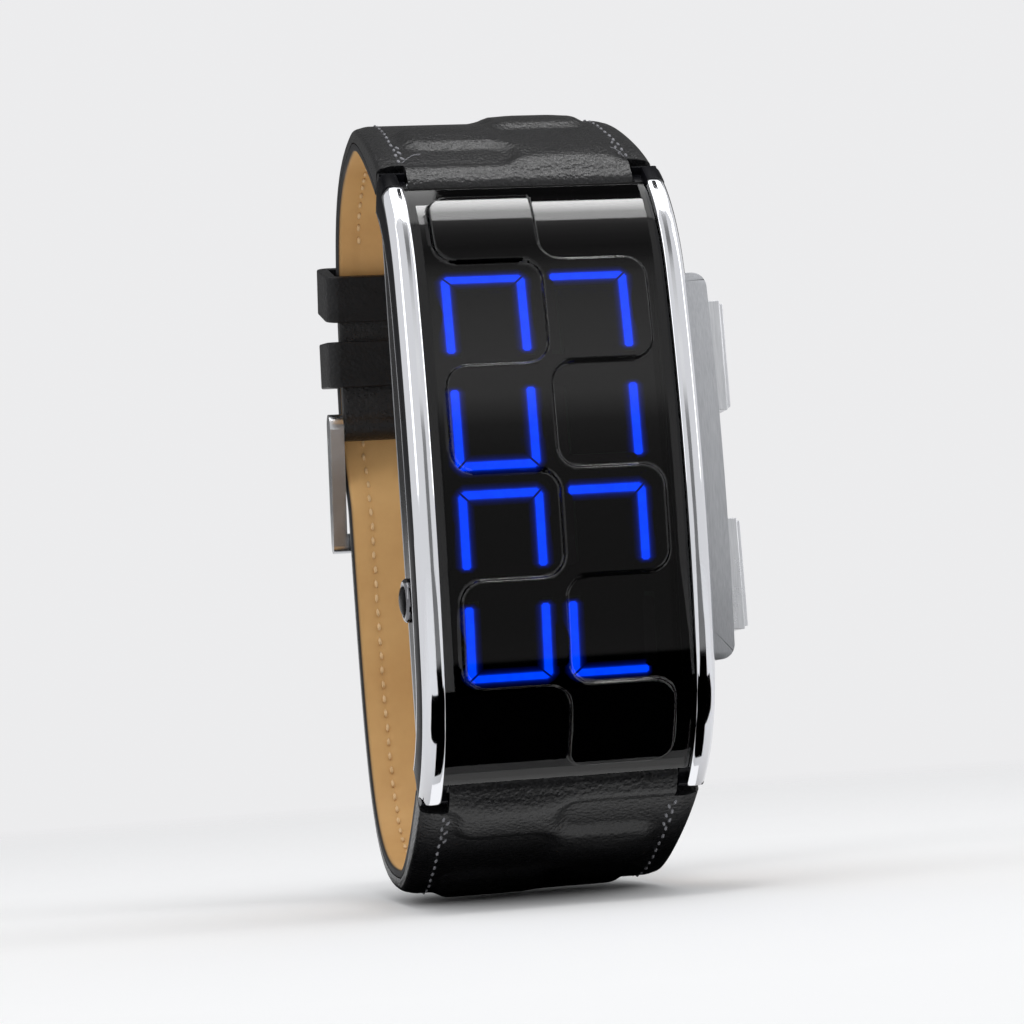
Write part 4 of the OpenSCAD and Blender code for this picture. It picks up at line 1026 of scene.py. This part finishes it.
black_leather = grained_leather("black_leather", (0.0035, 0.0035, 0.004), (0.007, 0.007, 0.008), 0.34, level=0.4)
dress(leather_short, black_leather, "strap_short", "black_leather", "strap_short_leather")
dress(leather_long, black_leather, "strap_long", "black_leather", "strap_long_leather")

# Strap lining: smooth tan leather glued inside, with a dimple at each stitch
# and black paint along its cut edges.
LINING_FROM, ROW_STEP = 2.0, 0.4
# the stitches' distance from the edge, pitch and first place
STITCH_IN, STITCH_PITCH, FIRST_STITCH = 2.1, 1.45, 3.4
DIMPLE_W, DIMPLE_D = 0.32, 0.2


def lining_point(half):
    """Gives the point of a lining for a share u across it and a distance s along it."""
    def place(u, s, upper):
        width = strap_width(half, s) - 0.02
        x = u * width
        if upper:
            offset = LINING_T - 0.05
        else:
            row = (abs(x) - (width - STITCH_IN)) / DIMPLE_W
            pull = math.exp(-row * row) if abs(row) < 3 else 0
            beat = 0.5 + 0.5 * math.cos(2 * math.pi * (s - FIRST_STITCH) / STITCH_PITCH)
            offset = DIMPLE_D * pull * (0.35 + 0.65 * beat)
            edge = width - abs(x)
            offset += 0.22 * (1 - min(1, edge / 0.35)) ** 2
        y, z = strap_at(half, s, offset)
        return x, y, z
    return place


across_lining = [-1, -0.993, -0.98, -0.965] + [-0.95 + 0.27 * k / 9 for k in range(10)]
across_lining += [-0.6, -0.5, -0.3, 0, 0.3, 0.5, 0.6]
across_lining += [0.68 + 0.27 * k / 9 for k in range(10)] + [0.965, 0.98, 0.993, 1]

tan_leather, tree, shader = new_material("tan_leather", (0.5, 0.3, 0.13), 0.55)
cloud = add_noise(tree, coordinates(tree, 0.12), detail=5, roughness=0.6)
ramp = shade_between(tree, shader, spread(tree, cloud, 0, 1, 0.25, 0.75), (0.54, 0.305, 0.115), (0.66, 0.405, 0.165))
pores = add_noise(tree, coordinates(tree, 5), detail=3)
tree.links.new(spread(tree, cloud, 0.5, 0.66), shader.inputs["Roughness"])
shader.inputs["Specular IOR Level"].default_value = 0.25
add_bump(tree, shader, pores, 0.3, 0.04)
rim = tree.nodes.new("ShaderNodeAttribute")
rim.attribute_name = "rim"
paint = tree.nodes.new("ShaderNodeMix")
paint.data_type = "RGBA"
paint.inputs["B"].default_value = (0.008, 0.008, 0.009, 1)
tree.links.new(rim.outputs["Fac"], paint.inputs["Factor"])
tree.links.new(ramp.outputs["Color"], paint.inputs["A"])
tree.links.new(paint.outputs["Result"], shader.inputs["Base Color"])

RIM_W, RIM_FADE = 0.3, 0.16


def paint_rim(piece):
    """Marks the cut edges, which are painted black, in the rim attribute."""
    rim = piece.data.attributes.new("rim", "FLOAT", "POINT")
    for k, vert in enumerate(piece.data.vertices):
        width = tapered(vert.co.y / MM)
        rim.data[k].value = smooth_step((abs(vert.co.x) / MM - width + RIM_W) / RIM_FADE)


lining_short = sheet_solid("strap_short_lining_shape", across_lining, even(LINING_FROM, FOLD_S - 0.05, ROW_STEP),
                           lining_point("short"))
lining_rows = even(LINING_FROM, TAIL_S - TIP_LEN, ROW_STEP)[:-1] + tip_rows(TIP_LEN - 0.1, 16)
lining_long = sheet_solid("strap_long_lining_shape", across_lining, lining_rows, lining_point("long"))
cut_holes(lining_long, cutter)
bpy.data.objects.remove(cutter)
for piece, half in ((lining_short, "short"), (lining_long, "long")):
    paint_rim(piece)
    dress(piece, tan_leather, "strap_" + half, "tan_leather", "strap_" + half + "_lining")

# Strap stitches: waxed thread in a row near each edge, grey outside and tan
# inside, sewn twice over where the row starts at the case.
SEAM_START, SEAM_END = 2.6, {"short": 36.5, "long": TAIL_S - 8}
# how far the doubled stitches go, and their shift inwards and on, and lean
DOUBLE_TO, DOUBLE_IN, DOUBLE_ON, DOUBLE_LEAN = 6, 0.4, 0.6, 0.35
# half length and half thickness of a stitch outside, inside, and of an end
OUTER_STITCH, INNER_STITCH, THREAD_END = (0.42, 0.15), (0.46, 0.2), (0.26, 0.05)
END_BITS = 7


def add_thread(bm, place, way, long, thick):
    """One stitch: a small rounded bar at a place, along a way; half its length and thickness in millimetres."""
    made = bmesh.ops.create_icosphere(bm, subdivisions=1, radius=1)
    bmesh.ops.scale(bm, verts=made["verts"], vec=(thick * MM, thick * MM, long * MM))
    turn = way.to_track_quat("Z", "Y").to_matrix().to_4x4()
    bmesh.ops.transform(bm, verts=made["verts"], matrix=Matrix.Translation(place * MM) @ turn)


def sew(name, half, inner):
    """Both rows of stitches on the outer or the inner face of a strap half."""
    bm = bmesh.new()
    chance = random.Random(7)
    s = SEAM_START
    while s < SEAM_END[half]:
        for side in (-1, 1):
            x = side * (strap_width(half, s) - STITCH_IN)
            spots = [(x, s, 0.0)]
            if s < DOUBLE_TO and not inner:
                spots.append((x - DOUBLE_IN * side, s + DOUBLE_ON, DOUBLE_LEAN * side))
            for at_x, at_s, lean in spots:
                at_x += chance.uniform(-0.05, 0.05)
                lift = 0.06 if inner else strap_thick(at_s) + pad_height(half, at_x, at_s)
                here, ahead = strap_at(half, at_s, lift), strap_at(half, at_s + 0.5, lift)
                way = Vector((math.tan(lean + chance.uniform(-0.12, 0.12)) * 0.5, ahead.x - here.x, ahead.y - here.y))
                add_thread(bm, Vector((at_x, here.x, here.y)), way, *(INNER_STITCH if inner else OUTER_STITCH))
        s += STITCH_PITCH
    if half == "short" and not inner:
        # two loose ends of thread, left where the rows start
        for side, drift in ((-1, 1.9), (1, -0.8)):
            for k in range(END_BITS):
                at_x = side * 9.9 + drift * k / END_BITS
                at_s = 2.3 + 1.6 * k / END_BITS
                lift = strap_thick(at_s) + pad_height(half, at_x, at_s) + 0.1 + 0.25 * math.sin(k / 2.2)
                here, ahead = strap_at(half, at_s, lift), strap_at(half, at_s + 0.23, lift + 0.03)
                add_thread(bm, Vector((at_x, here.x, here.y)),
                           Vector((drift / END_BITS, ahead.x - here.x, ahead.y - here.y)), *THREAD_END)
    for face in bm.faces:
        face.smooth = True
    return plain_object(name, bm)


thread_grey = coated("thread_grey", (0.10, 0.10, 0.11), (0.24, 0.24, 0.26), 0.6, tooth=0.5)
thread_tan = coated("thread_tan", (0.64, 0.42, 0.2), (0.74, 0.52, 0.28), 0.6, tooth=0.5)
for half in SEAM_END:
    dress(sew("stitches_" + half, half, False), thread_grey, "strap_" + half, "black_leather")
    dress(sew("lining_stitches_" + half, half, True), thread_tan, "strap_" + half, "tan_leather")

# Keepers: two loops of black leather round both halves. The upper one slides
# and the lower one is sewn to the short half.
keeper_leather = grained_leather("keeper_leather", (0.004, 0.004, 0.0045), (0.008, 0.008, 0.009), 0.4, level=0.22)
dress(rounded_copy("keeper_fixed", 0.4, 4), keeper_leather, "strap_short", "black_leather", "keeper_fixed")
dress(rounded_copy("keeper_free", 0.4, 4), keeper_leather, "keeper", "black_leather", "keeper_free")

# Buckle: a polished steel frame on a bar through the folded end of the short
# half, with a round tongue that lies on its front bar.
satin_steel = coated("satin_steel", (0.55, 0.56, 0.58), (0.68, 0.69, 0.71), 0.24, metallic=1.0)
dress(rounded_copy("buckle_frame", 0.35, 4), satin_steel, "buckle", "polished_steel", "buckle_frame")
finish_node("buckle_tongue", satin_steel)
